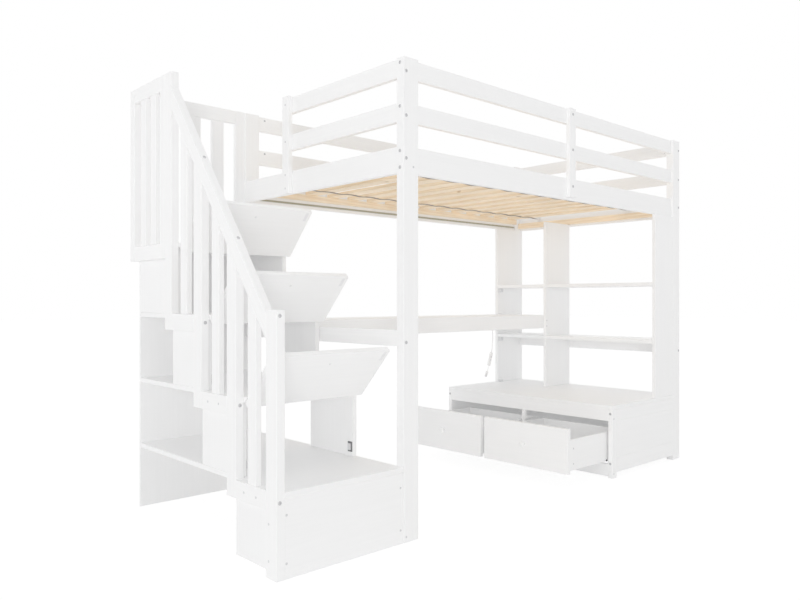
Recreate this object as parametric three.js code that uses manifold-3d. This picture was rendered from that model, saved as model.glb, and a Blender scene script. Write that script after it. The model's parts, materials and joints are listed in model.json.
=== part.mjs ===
// A white loft bed with a storage staircase on its left, a desk and a bookcase
// under the bed, and a low bench with two drawers at the right-hand end.
// Millimetres, +Z up. X runs along the bed, away from the stairs, and Y runs
// from the front to the back. The numbers below are counted from the foot of
// the front left bed post. The finished group is moved so that its origin is
// the middle of the floor under the whole object.

import * as THREE from 'three';
import { mergeVertices } from 'three/addons/utils/BufferGeometryUtils.js';
import Module from 'manifold-3d';

const wasm = await Module();
wasm.setup();

// Space left between two boards that touch.
const GAP = 0.3;

// Bed: the four posts and the boards between them.
const BED_LENGTH = 2020;
const BED_DEPTH = 1088;
const POST_WIDTH = 70;
const POST_DEPTH = 37;
const POST_HEIGHT = 1695;
const RAIL_THICKNESS = 20;
const SIDE_RAIL_BOTTOM = 1290;
const SIDE_RAIL_TOP = 1384;
const LOWER_GUARD_BOTTOM = 1470;
const LOWER_GUARD_TOP = 1537;
const UPPER_GUARD_BOTTOM = 1625;
const UPPER_GUARD_TOP = 1691;
const RAIL_SETBACK = 10;
const END_RAIL_SETBACK = 1;
const UPRIGHT_WIDTH = 46;
const FRONT_UPRIGHT_X = 987;
const FRONT_UPRIGHT_BOTTOM = 1300;
const FRONT_UPRIGHT_TOP = 1692;
const ENTRY_FRONT = 681;

// Bed base: slats on two webbing straps, and the ledgers that carry them.
const SLAT_COUNT = 15;
const SLAT_WIDTH = 64;
const SLAT_PITCH = 128;
const SLAT_THICKNESS = 15;
const SLAT_BOTTOM = 1356;
const FIRST_SLAT_MIDDLE = 105;
const SLAT_FRONT = 38;
const SLAT_BACK = 1050;
const STRAP_WIDTH = 18;
const STRAP_THICKNESS = 2;
const STRAP_SINK = 0.4;
const STRAP_MIDDLES = [292, 897];
const STRAP_END_SPACE = 3;
const LEDGER_THICKNESS = 19.4;
const LEDGER_BOTTOM = 1327;
const END_LEDGER_BOTTOM = 1302;
const END_LEDGER_TOP = 1334;

// Cross pieces low on the bed's two ends.
const DESK_STRETCHER_BOTTOM = 683;
const SHELF_STRETCHER_BOTTOM = 563;

// Stairs.
const RISER = 265;
const RUN = 233;
const STAIR_LEFT = -490;
const BOARD = 18;
const CASE_WALL = 18;
const RIGHT_WALL_INSET = 4;
const CASE_WALL_SETBACK = 21;
const CASE_WALL_LENGTH = 266;
const CASE_FOOT = 5;
const FRONT_PANEL_SETBACK = 2;
const SHELF_BACK = 1048;
const LANDING_FRONT = 699;
const BACK_PANEL_BACK = 1058;

// Stair guard, outside the left of the steps.
const GUARD_OUTSIDE = -520;
const GUARD_SLAT_THICKNESS = 20;
const NEWEL_DEPTH = 60;
const NEWEL_HEIGHT = 816;
const GUARD_POSTS = [[238, 297], [471, 529], [703, 757]];
const GUARD_SLATS = [[116, 166], [348, 399], [578, 629]];
const GUARD_BASE_HEIGHT = 60;
const HANDRAIL_SLOPE = 1.2915;
const HANDRAIL_TOP_AT_ZERO = 727.5;
const HANDRAIL_BOTTOM_AT_ZERO = 645;
const LANDING_GUARD_BOTTOM = 1003;
const LANDING_GUARD_TOP = 1694;
const LANDING_GUARD_RAIL = 57;
const LANDING_GUARD_POSTS = [[757, 800], [1035, 1075]];
const LANDING_GUARD_SLATS = [[836, 884], [926, 974]];
const BACK_GUARD_TOP = 1697;
const BACK_GUARD_BACK = 1078;
const BACK_GUARD_POST = 46;
const BACK_GUARD_SLAT = 56;
const BACK_GUARD_SLAT_STARTS = [-384, -273, -162];

// Flaps of the three upper steps. They hang on hinges under the tread's nose.
const FLAP_LEFT = -487.5;
const FLAP_RIGHT = -5.5;
const FLAP_HEIGHT = 236;
const FLAP_DROP = 22;
const FLAP_OPEN_DEG = 137.3;
const FLAP_CORNER = 10;
const FLAP_KNOB_RADIUS = 11;
const FLAP_KNOB_HEIGHT = 15;
const FLAP_KNOB_FROM_EDGE = 51;

// Desk.
const DESK_FRONT = 696;
const DESK_TOP = 760;
const APRON_BOTTOM = 684;
const DESK_BACK = 1039.7;
const DESK_RIGHT = 1804;
const CLIP_SIZE = 12;

// Bookcase at the right-hand end.
const CASE_LEFT = 1761;
const UPPER_SHELF_TOP = 939;
const LOWER_SHELF_TOP = 641;
const HALVING_X = 1880;

// Bench with two drawers.
const BENCH_LEFT = 1350;
const BENCH_TOP = 345;
const BENCH_DEPTH = 1063;
const BENCH_POST = 40;
const BENCH_POST_DEPTH = 22;
const BENCH_RAIL_BOTTOM = 271;
const BENCH_KICK_BOTTOM = 8;
const BENCH_KICK_TOP = 66;
const BENCH_DIVIDER = [515, 534];
const BENCH_SIDE_BOTTOM = 26;
const RUNNER_TOP = 77.7;
const RUNNER_HEIGHT = 18;
const RUNNER_WIDTH = 30;
const RUNNER_END = 1940;
const BENCH_BACK_THICKNESS = 12;

// Drawers, drawn as the picture shows them, pulled out.
const DRAWER_PULL = 328;
const DRAWER_FRONTS = [[24, 513], [536, 1039]];
const DRAWER_FRONT_THICKNESS = 20;
const DRAWER_FRONT_BOTTOM = 67;
const DRAWER_FRONT_TOP = 270;
const DRAWER_BOX_SETBACK = 10;
const DRAWER_BOX_BOTTOM = 78;
const DRAWER_BOX_TOP = 217;
const DRAWER_BOX_LENGTH = 450;
const DRAWER_WALL = 12;
const DRAWER_FLOOR = 6;
const KNOB_HEIGHT_Z = 170;
const KNOB_RADIUS = 14;

// Power lead that hangs from a clip under the desk: a cable, an in-line
// controller, a thin tail and a plug. Places are X and Z along the hanging lead.
const LEAD_Y = 722;
const LEAD_DIAMETER = 5;
const LEAD_STEPS = 16;
const TAIL_DIAMETER = 3.2;
const TAIL_STEPS = 5;
const LEAD_SIDES = 8;
const LEAD_PLACES = [
  [1331, 727.7], [1331, 716], [1331.6, 704], [1333.2, 690], [1335.4, 674],
  [1337.2, 658], [1337.6, 644], [1336.4, 630], [1334.6, 617], [1333.2, 605],
  [1332.5, 594], [1331.8, 584], [1330.2, 575.8], [1328.4, 570], [1326.6, 564.3],
];
const TAIL_PLACES = [
  [1304, 492.1], [1302.2, 486.3], [1300.2, 480], [1297.4, 474],
  [1294, 468.2], [1291.1, 462.3],
];
const CONTROLLER = { x: 1326.5, z: 564, tilt: 17.4, width: 19, depth: 10, length: 75, edge: 3 };
const PLUG = { x: 1291, z: 462, tilt: 25.8, width: 16, depth: 8, length: 31, edge: 2 };

// Finishes. Every piece gets a material of its own.
const WHITE = { color: 0xf4f4f2, roughness: 0.45, metalness: 0 };
const PALE = { color: 0xe6e7e8, roughness: 0.5, metalness: 0 };
const PINE = { color: 0xf0d7b6, roughness: 0.6, metalness: 0 };
const PLASTIC = { color: 0xf2f2f0, roughness: 0.35, metalness: 0 };

const furniture = new THREE.Group();

// A closed mesh as a solid that can be joined or cut.
function toSolid(geometry) {
  const bare = geometry.clone();
  bare.deleteAttribute('normal');
  bare.deleteAttribute('uv');
  const merged = mergeVertices(bare);
  const corners = merged.index.array;
  const triangles = [];
  for (let i = 0; i < corners.length; i += 3) {
    const [a, b, c] = corners.slice(i, i + 3);
    if (a !== b && b !== c && c !== a) {
      triangles.push(a, b, c);
    }
  }
  return new wasm.Manifold(new wasm.Mesh({
    numProp: 3,
    vertProperties: Float32Array.from(merged.attributes.position.array),
    triVerts: Uint32Array.from(triangles),
  }));
}

function toGeometry(solid) {
  const mesh = solid.getMesh();
  const geometry = new THREE.BufferGeometry();
  geometry.setAttribute('position', new THREE.BufferAttribute(mesh.vertProperties, 3));
  geometry.setIndex(new THREE.BufferAttribute(mesh.triVerts, 1));
  geometry.computeVertexNormals();
  return geometry;
}

// One geometry from several that overlap, with others cut away from it.
function join(pieces, cutters = []) {
  let solid = toSolid(pieces[0]);
  for (const piece of pieces.slice(1)) {
    solid = solid.add(toSolid(piece));
  }
  for (const cutter of cutters) {
    solid = solid.subtract(toSolid(cutter));
  }
  return toGeometry(solid);
}

// A board by its lowest and highest X, Y and Z.
function board(x, y, z) {
  const geometry = new THREE.BoxGeometry(x[1] - x[0], y[1] - y[0], z[1] - z[0]);
  return geometry.translate((x[0] + x[1]) / 2, (y[0] + y[1]) / 2, (z[0] + z[1]) / 2);
}

// A board whose outline is drawn in Y and Z and whose thickness runs along X.
function profileAlongX(outline, left, right) {
  const shape = new THREE.Shape(outline.map(([y, z]) => new THREE.Vector2(y, z)));
  const options = { depth: right - left, bevelEnabled: false };
  const turn = new THREE.Matrix4().makeBasis(
    new THREE.Vector3(0, 1, 0),
    new THREE.Vector3(0, 0, 1),
    new THREE.Vector3(1, 0, 0),
  );
  return new THREE.ExtrudeGeometry(shape, options).applyMatrix4(turn).translate(left, 0, 0);
}

function place(name, geometry, finish, parent = furniture) {
  const mesh = new THREE.Mesh(geometry, new THREE.MeshStandardMaterial(finish));
  mesh.name = name;
  parent.add(mesh);
  return mesh;
}

// The boards of one group share these limits inside the bed's frame.
const BETWEEN_POSTS_X = [POST_WIDTH + GAP, BED_LENGTH - POST_WIDTH - GAP];
const BETWEEN_POSTS_Y = [POST_DEPTH + GAP, BED_DEPTH - POST_DEPTH - GAP];
const FRONT_RAIL_Y = [RAIL_SETBACK, RAIL_SETBACK + RAIL_THICKNESS];
const BACK_RAIL_Y = [BED_DEPTH - FRONT_RAIL_Y[1], BED_DEPTH - FRONT_RAIL_Y[0]];
const LEFT_RAIL_X = [END_RAIL_SETBACK, END_RAIL_SETBACK + RAIL_THICKNESS];
const RIGHT_RAIL_X = [BED_LENGTH - LEFT_RAIL_X[1], BED_LENGTH - LEFT_RAIL_X[0]];
const FRONT_POST_BACK = POST_DEPTH + GAP;
const RIGHT_POST_LEFT = BED_LENGTH - POST_WIDTH - GAP;
const RIGHT_INSIDE = RIGHT_RAIL_X[0] - GAP;
const BACK_POST_FRONT = BED_DEPTH - POST_DEPTH;

function makePosts() {
  const corners = {
    bed_post_front_left: [0, 0],
    bed_post_front_right: [BED_LENGTH - POST_WIDTH, 0],
    bed_post_back_left: [0, BACK_POST_FRONT],
    bed_post_back_right: [BED_LENGTH - POST_WIDTH, BACK_POST_FRONT],
  };
  for (const [name, [x, y]] of Object.entries(corners)) {
    place(name, board([x, x + POST_WIDTH], [y, y + POST_DEPTH], [0, POST_HEIGHT]), WHITE);
  }
}

// Side rails and two guard rails on every side. The left guard rails stop
// short of the landing, where the way into the bed is.
function makeRails() {
  const levels = {
    side_rail: [SIDE_RAIL_BOTTOM, SIDE_RAIL_TOP],
    guard_rail_lower: [LOWER_GUARD_BOTTOM, LOWER_GUARD_TOP],
    guard_rail_upper: [UPPER_GUARD_BOTTOM, UPPER_GUARD_TOP],
  };
  for (const [name, heights] of Object.entries(levels)) {
    const isGuard = name !== 'side_rail';
    const leftEnd = isGuard ? ENTRY_FRONT + UPRIGHT_WIDTH : BETWEEN_POSTS_Y[1];
    place(`${name}_front`, board(BETWEEN_POSTS_X, FRONT_RAIL_Y, heights), WHITE);
    place(`${name}_back`, board(BETWEEN_POSTS_X, BACK_RAIL_Y, heights), WHITE);
    place(`${name}_left`, board(LEFT_RAIL_X, [BETWEEN_POSTS_Y[0], leftEnd], heights), WHITE);
    place(`${name}_right`, board(RIGHT_RAIL_X, BETWEEN_POSTS_Y, heights), WHITE);
  }
}

// Uprights that the guard rails are bolted to, outside the boards.
function makeUprights() {
  const frontX = [FRONT_UPRIGHT_X, FRONT_UPRIGHT_X + UPRIGHT_WIDTH];
  const frontY = [RAIL_SETBACK - RAIL_THICKNESS, RAIL_SETBACK - GAP];
  const front = board(frontX, frontY, [FRONT_UPRIGHT_BOTTOM, FRONT_UPRIGHT_TOP]);
  place('guard_upright_front', front, WHITE);
  const leftX = [END_RAIL_SETBACK - RAIL_THICKNESS, END_RAIL_SETBACK - GAP];
  const leftY = [ENTRY_FRONT, ENTRY_FRONT + UPRIGHT_WIDTH];
  place('guard_upright_left', board(leftX, leftY, [SIDE_RAIL_BOTTOM, POST_HEIGHT]), WHITE);
}

// Slats stapled to two straps, rolled out on the ledgers. The straps run on
// almost to the right-hand end rail.
function makeBedBase() {
  const slatTop = SLAT_BOTTOM + SLAT_THICKNESS;
  const pieces = [];
  for (let i = 0; i < SLAT_COUNT; i += 1) {
    const middle = FIRST_SLAT_MIDDLE + i * SLAT_PITCH;
    const x = [middle - SLAT_WIDTH / 2, middle + SLAT_WIDTH / 2];
    pieces.push(board(x, [SLAT_FRONT, SLAT_BACK], [SLAT_BOTTOM, slatTop]));
  }
  const strapX = [FIRST_SLAT_MIDDLE - SLAT_WIDTH / 4, RIGHT_INSIDE - STRAP_END_SPACE];
  const strapTop = SLAT_BOTTOM + STRAP_SINK;
  for (const middle of STRAP_MIDDLES) {
    const y = [middle - STRAP_WIDTH / 2, middle + STRAP_WIDTH / 2];
    pieces.push(board(strapX, y, [strapTop - STRAP_THICKNESS, strapTop]));
  }
  place('slat_mat', join(pieces), PINE);

  const ledgerTop = SLAT_BOTTOM - GAP;
  const frontY = [FRONT_RAIL_Y[1] + GAP, FRONT_RAIL_Y[1] + GAP + LEDGER_THICKNESS];
  const backY = [BACK_RAIL_Y[0] - GAP - LEDGER_THICKNESS, BACK_RAIL_Y[0] - GAP];
  const sides = [LEDGER_BOTTOM, ledgerTop];
  place('slat_ledger_front', board(BETWEEN_POSTS_X, frontY, sides), PINE);
  place('slat_ledger_back', board(BETWEEN_POSTS_X, backY, sides), PINE);
  const endX = [RIGHT_INSIDE - LEDGER_THICKNESS, RIGHT_INSIDE];
  const endHeights = [END_LEDGER_BOTTOM, END_LEDGER_TOP];
  place('slat_ledger_right', board(endX, BETWEEN_POSTS_Y, endHeights), PINE);
}

function makeStretchers() {
  const deskUnderside = DESK_TOP - RAIL_THICKNESS - GAP;
  const shelfUnderside = LOWER_SHELF_TOP - BOARD - GAP;
  const left = board(LEFT_RAIL_X, BETWEEN_POSTS_Y, [DESK_STRETCHER_BOTTOM, deskUnderside]);
  const right = board(RIGHT_RAIL_X, BETWEEN_POSTS_Y, [SHELF_STRETCHER_BOTTOM, shelfUnderside]);
  place('stretcher_left', left, WHITE);
  place('stretcher_right', right, WHITE);
}

// Each step is a tread that runs right back as a shelf, on two short walls.
// The lowest step is closed by a fixed front panel.
function makeSteps() {
  const names = ['step_case_1', 'step_case_2', 'step_case_3', 'landing_case'];
  for (let level = 0; level < names.length; level += 1) {
    const treadTop = RISER * (level + 1);
    const isLanding = level === names.length - 1;
    const treadFront = isLanding ? LANDING_FRONT : RUN * level;
    const treadBack = isLanding ? BACK_PANEL_BACK : SHELF_BACK;
    const wallFront = RUN * level + CASE_WALL_SETBACK;
    const wallBack = isLanding ? SHELF_BACK : wallFront + CASE_WALL_LENGTH;
    const wallFoot = level === 0 ? CASE_FOOT : RISER * level + GAP;
    const wallZ = [wallFoot, treadTop - BOARD / 2];
    const wallY = [wallFront, wallBack];
    const pieces = [
      board([STAIR_LEFT, -GAP], [treadFront, treadBack], [treadTop - BOARD, treadTop]),
      board([STAIR_LEFT, STAIR_LEFT + CASE_WALL], wallY, wallZ),
      board([-RIGHT_WALL_INSET - CASE_WALL, -RIGHT_WALL_INSET], wallY, wallZ),
    ];
    if (level === 0) {
      const panelY = [FRONT_PANEL_SETBACK, wallFront + GAP];
      pieces.push(board([STAIR_LEFT, -GAP], panelY, [0, treadTop - BOARD / 2]));
    }
    place(names[level], join(pieces), WHITE);
  }
  const panelTop = RISER * names.length - BOARD - GAP;
  const panelY = [SHELF_BACK + GAP, BACK_PANEL_BACK];
  place('stair_back_panel', board([STAIR_LEFT, -GAP], panelY, [CASE_FOOT, panelTop]), WHITE);
}

// The stair guard: posts that stand on short base rails, one at each step,
// under a sloped handrail.
function makeStairGuard() {
  const inside = STAIR_LEFT - GAP;
  const slatInside = GUARD_OUTSIDE + GUARD_SLAT_THICKNESS;
  const top = (y) => HANDRAIL_TOP_AT_ZERO + HANDRAIL_SLOPE * y;
  const bottom = (y) => HANDRAIL_BOTTOM_AT_ZERO + HANDRAIL_SLOPE * y;
  const newel = board([GUARD_OUTSIDE, inside], [0, NEWEL_DEPTH], [0, NEWEL_HEIGHT]);
  place('stair_newel_post', newel, WHITE);

  let railStart = NEWEL_DEPTH + GAP;
  for (let i = 0; i < GUARD_POSTS.length; i += 1) {
    const [front, back] = GUARD_POSTS[i];
    const treadTop = RISER * (i + 1);
    const foot = treadTop - GUARD_BASE_HEIGHT;
    const isLast = i === GUARD_POSTS.length - 1;
    const headFront = isLast ? LANDING_GUARD_TOP : bottom(front) - GAP;
    const headBack = isLast ? LANDING_GUARD_TOP : bottom(back) - GAP;
    const outline = [[front, foot], [back, foot], [back, headBack], [front, headFront]];
    const post = profileAlongX(outline, GUARD_OUTSIDE, inside);
    const baseY = [railStart, front + GAP];
    const base = board([GUARD_OUTSIDE, inside], baseY, [foot, treadTop]);
    place(`stair_guard_post_${i + 1}`, join([post, base]), WHITE);
    railStart = back + GAP;
  }

  const railFront = NEWEL_DEPTH + GAP;
  const railBack = GUARD_POSTS[2][0] - GAP;
  const railOutline = [
    [railFront, bottom(railFront)],
    [railBack, bottom(railBack)],
    [railBack, top(railBack)],
    [railFront, top(railFront)],
  ];
  const pieces = [profileAlongX(railOutline, GUARD_OUTSIDE, inside)];
  for (let i = 0; i < GUARD_SLATS.length; i += 1) {
    const [front, back] = GUARD_SLATS[i];
    const foot = RISER * (i + 1) + GAP;
    const outline = [[front, foot], [back, foot], [back, top(back) - 1], [front, top(front) - 1]];
    pieces.push(profileAlongX(outline, GUARD_OUTSIDE + GAP, slatInside));
  }
  place('stair_handrail', join(pieces), WHITE);
}

// Two guards round the landing, each a frame with upright slats.
function makeLandingGuards() {
  const sideX = [GUARD_OUTSIDE, STAIR_LEFT - GAP];
  const slatX = [GUARD_OUTSIDE + GAP, GUARD_OUTSIDE + GUARD_SLAT_THICKNESS];
  const sideZ = [LANDING_GUARD_BOTTOM, LANDING_GUARD_TOP];
  const sideY = [LANDING_GUARD_POSTS[0][0] + GAP, LANDING_GUARD_POSTS[1][1]];
  const side = [
    board(sideX, [sideY[0], LANDING_GUARD_POSTS[0][1]], sideZ),
    board(sideX, LANDING_GUARD_POSTS[1], sideZ),
    board(sideX, sideY, [sideZ[0], sideZ[0] + LANDING_GUARD_RAIL]),
    board(sideX, sideY, [sideZ[1] - LANDING_GUARD_RAIL, sideZ[1]]),
  ];
  for (const slatY of LANDING_GUARD_SLATS) {
    side.push(board(slatX, slatY, [sideZ[0] + 1, sideZ[1] - 1]));
  }
  place('landing_guard_left', join(side), WHITE);

  const backX = [STAIR_LEFT, -GAP];
  const backY = [BACK_PANEL_BACK + GAP, BACK_GUARD_BACK];
  const backZ = [LANDING_GUARD_BOTTOM, BACK_GUARD_TOP];
  const back = [
    board([backX[0], backX[0] + BACK_GUARD_POST], backY, backZ),
    board([backX[1] - BACK_GUARD_POST, backX[1]], backY, backZ),
    board(backX, backY, [backZ[0], backZ[0] + LANDING_GUARD_RAIL]),
    board(backX, backY, [backZ[1] - LANDING_GUARD_RAIL, backZ[1]]),
  ];
  for (const start of BACK_GUARD_SLAT_STARTS) {
    const slatY = [backY[0] + 1, backY[1] - 1];
    back.push(board([start, start + BACK_GUARD_SLAT], slatY, [backZ[0] + 1, backZ[1] - 1]));
  }
  place('landing_guard_back', join(back), WHITE);
}

// A flap hangs from its top front edge and is drawn open, turned up past the
// horizontal. Its knob is on the outer face, near the free edge.
function makeFlaps() {
  const width = FLAP_RIGHT - FLAP_LEFT;
  const outline = new THREE.Shape();
  outline.moveTo(0, 0);
  outline.lineTo(0, -FLAP_HEIGHT + FLAP_CORNER);
  outline.absarc(FLAP_CORNER, -FLAP_HEIGHT + FLAP_CORNER, FLAP_CORNER, Math.PI, Math.PI * 1.5);
  outline.absarc(width - FLAP_CORNER, -FLAP_HEIGHT + FLAP_CORNER, FLAP_CORNER, Math.PI * 1.5, 0);
  outline.lineTo(width, 0);
  const options = { depth: BOARD, bevelEnabled: false, curveSegments: 6 };
  const panel = new THREE.ExtrudeGeometry(outline, options);
  panel.rotateX(Math.PI / 2).translate(FLAP_LEFT, BOARD, 0);
  const knob = new THREE.CylinderGeometry(
    FLAP_KNOB_RADIUS,
    FLAP_KNOB_RADIUS * 0.8,
    FLAP_KNOB_HEIGHT + 1,
    16,
  );
  const knobX = (FLAP_LEFT + FLAP_RIGHT) / 2;
  const knobY = 0.5 - FLAP_KNOB_HEIGHT / 2;
  knob.rotateX(Math.PI).translate(knobX, knobY, FLAP_KNOB_FROM_EDGE - FLAP_HEIGHT);
  for (let level = 1; level <= 3; level += 1) {
    const flap = place(`step_flap_${level}`, join([panel, knob]), PALE);
    const hingeY = RUN * level + FRONT_PANEL_SETBACK;
    flap.position.set(0, hingeY, RISER * (level + 1) - FLAP_DROP);
    flap.rotation.x = -THREE.MathUtils.degToRad(FLAP_OPEN_DEG);
  }
}

// The desk lies on the left stretcher and on a cross rail at the bookcase. Its
// apron runs on behind the bookcase's middle partition.
function makeDesk() {
  const underside = DESK_TOP - RAIL_THICKNESS;
  const apronBack = DESK_FRONT + BOARD;
  const apronX = [LEFT_RAIL_X[1] + GAP, DESK_RIGHT];
  place('desk_apron', board(apronX, [DESK_FRONT, apronBack], [APRON_BOTTOM, DESK_TOP]), WHITE);
  const deskY = [apronBack + GAP, DESK_BACK];
  const top = board([LEFT_RAIL_X[0], DESK_RIGHT], deskY, [underside, DESK_TOP]);
  const [leadX] = LEAD_PLACES[0];
  const clipX = [leadX - CLIP_SIZE / 2, leadX + CLIP_SIZE / 2];
  const clipY = [deskY[0], LEAD_Y + CLIP_SIZE / 2];
  const clip = board(clipX, clipY, [underside - CLIP_SIZE, underside + 1]);
  place('desk_board', join([top, clip]), WHITE);
  const crossX = [DESK_RIGHT - BOARD, DESK_RIGHT];
  const cross = board(crossX, deskY, [APRON_BOTTOM, underside - GAP]);
  place('desk_cross_rail', cross, WHITE);
}

// Two shelves and a middle partition that are slotted into each other, with
// a side panel at the front and a narrow one at the back.
function makeBookcase() {
  const foot = BENCH_TOP + GAP;
  const head = SIDE_RAIL_BOTTOM - GAP;
  const sideX = [CASE_LEFT, RIGHT_POST_LEFT];
  place('bookcase_side_front', board(sideX, [0, BOARD], [foot, head]), WHITE);
  const backY = [DESK_BACK + GAP, DESK_BACK + BOARD];
  place('bookcase_side_back', board(sideX, backY, [foot, head]), WHITE);

  const middleY = [DESK_FRONT - GAP - BOARD, DESK_FRONT - GAP];
  const middle = board([CASE_LEFT, RIGHT_INSIDE], middleY, [foot, END_LEDGER_BOTTOM - GAP]);
  const slots = [];
  const shelves = { bookcase_shelf_upper: UPPER_SHELF_TOP, bookcase_shelf_lower: LOWER_SHELF_TOP };
  for (const [name, top] of Object.entries(shelves)) {
    const bottom = top - BOARD;
    const right = name === 'bookcase_shelf_lower' ? RIGHT_RAIL_X[1] : RIGHT_INSIDE;
    const shelf = board([CASE_LEFT, right], [BOARD + GAP, DESK_BACK - GAP], [bottom, top]);
    const postNotch = board([RIGHT_POST_LEFT, BED_LENGTH], [0, FRONT_POST_BACK], [bottom - 1, top + 1]);
    const halving = board(
      [HALVING_X, RIGHT_INSIDE + GAP],
      [middleY[0] - GAP, middleY[1] + GAP],
      [bottom - 1, top + 1],
    );
    place(name, join([shelf], [postNotch, halving]), WHITE);
    slots.push(board(
      [CASE_LEFT - 1, HALVING_X + GAP],
      [middleY[0] - 1, middleY[1] + 1],
      [bottom - GAP, top + GAP],
    ));
  }
  place('bookcase_partition', join([middle], slots), WHITE);
}

// The bench is a box with an open front frame. The drawers slide on wooden
// runners on its walls and on a middle runner behind the divider.
function makeBench() {
  const underTop = BENCH_TOP - BOARD;
  const frameX = [BENCH_LEFT, BENCH_LEFT + BENCH_POST];
  const topX = [BENCH_LEFT, RIGHT_INSIDE];
  const top = board(topX, [0, BENCH_DEPTH], [underTop, BENCH_TOP]);
  const notches = [[-1, FRONT_POST_BACK], [BACK_POST_FRONT - GAP, BED_DEPTH]].map(
    (y) => board([RIGHT_POST_LEFT, BED_LENGTH], y, [underTop - 1, BENCH_TOP + 1]),
  );
  place('bench_top', join([top], notches), WHITE);

  const head = underTop - GAP;
  const railX = [BENCH_LEFT, BENCH_LEFT + BOARD];
  const frameY = [0, BENCH_DEPTH];
  const runnerZ = [RUNNER_TOP - RUNNER_HEIGHT, RUNNER_TOP];
  const middleRunnerY = [
    BENCH_DIVIDER[0] - RUNNER_WIDTH,
    BENCH_DIVIDER[1] + RUNNER_WIDTH,
  ];
  const backX = [RIGHT_INSIDE - BENCH_BACK_THICKNESS, RIGHT_INSIDE];
  const middleRunnerX = [BENCH_LEFT + DRAWER_FRONT_THICKNESS + GAP, backX[0] - GAP];
  place('bench_front_frame', join([
    board(frameX, [0, BENCH_POST_DEPTH], [0, head]),
    board(frameX, [BENCH_DEPTH - BENCH_POST_DEPTH, BENCH_DEPTH], [0, head]),
    board(railX, frameY, [BENCH_RAIL_BOTTOM, head]),
    board(railX, frameY, [BENCH_KICK_BOTTOM, BENCH_KICK_TOP]),
    board(railX, BENCH_DIVIDER, [BENCH_KICK_BOTTOM, head]),
    board([railX[1] - 1, backX[0] - GAP], BENCH_DIVIDER, runnerZ),
    board(middleRunnerX, middleRunnerY, runnerZ),
  ]), WHITE);

  const wallX = [frameX[1] + GAP, RIGHT_POST_LEFT];
  const runnerX = [wallX[0], RUNNER_END];
  const wallZ = [BENCH_SIDE_BOTTOM, head];
  place('bench_side_front', join([
    board(wallX, [0, BOARD], wallZ),
    board(runnerX, [BOARD - 1, BOARD + RUNNER_WIDTH], runnerZ),
  ]), WHITE);
  const backFace = BENCH_DEPTH - BOARD;
  place('bench_side_back', join([
    board(wallX, [backFace, BENCH_DEPTH], wallZ),
    board(runnerX, [backFace - RUNNER_WIDTH, backFace + 1], runnerZ),
  ]), WHITE);
  place('bench_back_panel', board(backX, BETWEEN_POSTS_Y, wallZ), WHITE);
}

// Each drawer is an open box behind a front with a turned knob.
function makeDrawers() {
  const face = BENCH_LEFT - DRAWER_PULL;
  const inside = face + DRAWER_FRONT_THICKNESS;
  const boxX = [inside + GAP, inside + DRAWER_BOX_LENGTH];
  const knobProfile = [
    [0, 1], [6, 1], [6, -6], [KNOB_RADIUS - 2, -10], [KNOB_RADIUS, -15],
    [KNOB_RADIUS - 2, -20], [8, -23], [0, -24],
  ].map(([radius, along]) => new THREE.Vector2(radius, along));
  knobProfile.reverse();
  for (let i = 0; i < DRAWER_FRONTS.length; i += 1) {
    const [front, back] = DRAWER_FRONTS[i];
    const panel = board([face, inside], [front, back], [DRAWER_FRONT_BOTTOM, DRAWER_FRONT_TOP]);
    const knob = new THREE.LatheGeometry(knobProfile, 16);
    knob.rotateZ(-Math.PI / 2).translate(face, (front + back) / 2, KNOB_HEIGHT_Z);
    place(`drawer_front_${i + 1}`, join([panel, knob]), WHITE);

    const boxY = [front + DRAWER_BOX_SETBACK, back - DRAWER_BOX_SETBACK];
    const inner = board(
      [boxX[0] + DRAWER_WALL, boxX[1] - DRAWER_WALL],
      [boxY[0] + DRAWER_WALL, boxY[1] - DRAWER_WALL],
      [DRAWER_BOX_BOTTOM + DRAWER_FLOOR, DRAWER_BOX_TOP + 1],
    );
    const outer = board(boxX, boxY, [DRAWER_BOX_BOTTOM, DRAWER_BOX_TOP]);
    place(`drawer_box_${i + 1}`, join([outer], [inner]), WHITE);
  }
}

// A rounded bar that hangs from its top end and leans to the left.
function hangingBar(part) {
  const side = part.width / 2 - part.edge;
  const front = part.depth / 2 - part.edge;
  const outline = new THREE.Shape();
  outline.absarc(side, front, part.edge, 0, Math.PI / 2);
  outline.absarc(-side, front, part.edge, Math.PI / 2, Math.PI);
  outline.absarc(-side, -front, part.edge, Math.PI, Math.PI * 1.5);
  outline.absarc(side, -front, part.edge, Math.PI * 1.5, Math.PI * 2);
  const options = { depth: part.length, bevelEnabled: false, curveSegments: 2 };
  return new THREE.ExtrudeGeometry(outline, options).translate(0, 0, -part.length);
}

// A cable of even thickness along points in the plane of the hanging lead.
function cable(places, diameter, steps) {
  const points = places.map(([x, z]) => new THREE.Vector3(x, LEAD_Y, z));
  const ring = [];
  for (let i = 0; i < LEAD_SIDES; i += 1) {
    const angle = (i / LEAD_SIDES) * Math.PI * 2;
    ring.push(new THREE.Vector2(Math.cos(angle), Math.sin(angle)).multiplyScalar(diameter / 2));
  }
  const options = { steps, extrudePath: new THREE.CatmullRomCurve3(points) };
  return new THREE.ExtrudeGeometry(new THREE.Shape(ring), options);
}

function makeLead() {
  place('lead_cable', cable(LEAD_PLACES, LEAD_DIAMETER, LEAD_STEPS), PLASTIC);
  place('lead_tail', cable(TAIL_PLACES, TAIL_DIAMETER, TAIL_STEPS), PLASTIC);
  for (const [name, part] of Object.entries({ lead_controller: CONTROLLER, lead_plug: PLUG })) {
    const hanging = place(name, hangingBar(part), PLASTIC);
    hanging.position.set(part.x, LEAD_Y, part.z);
    hanging.rotation.y = THREE.MathUtils.degToRad(part.tilt);
  }
}

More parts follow.
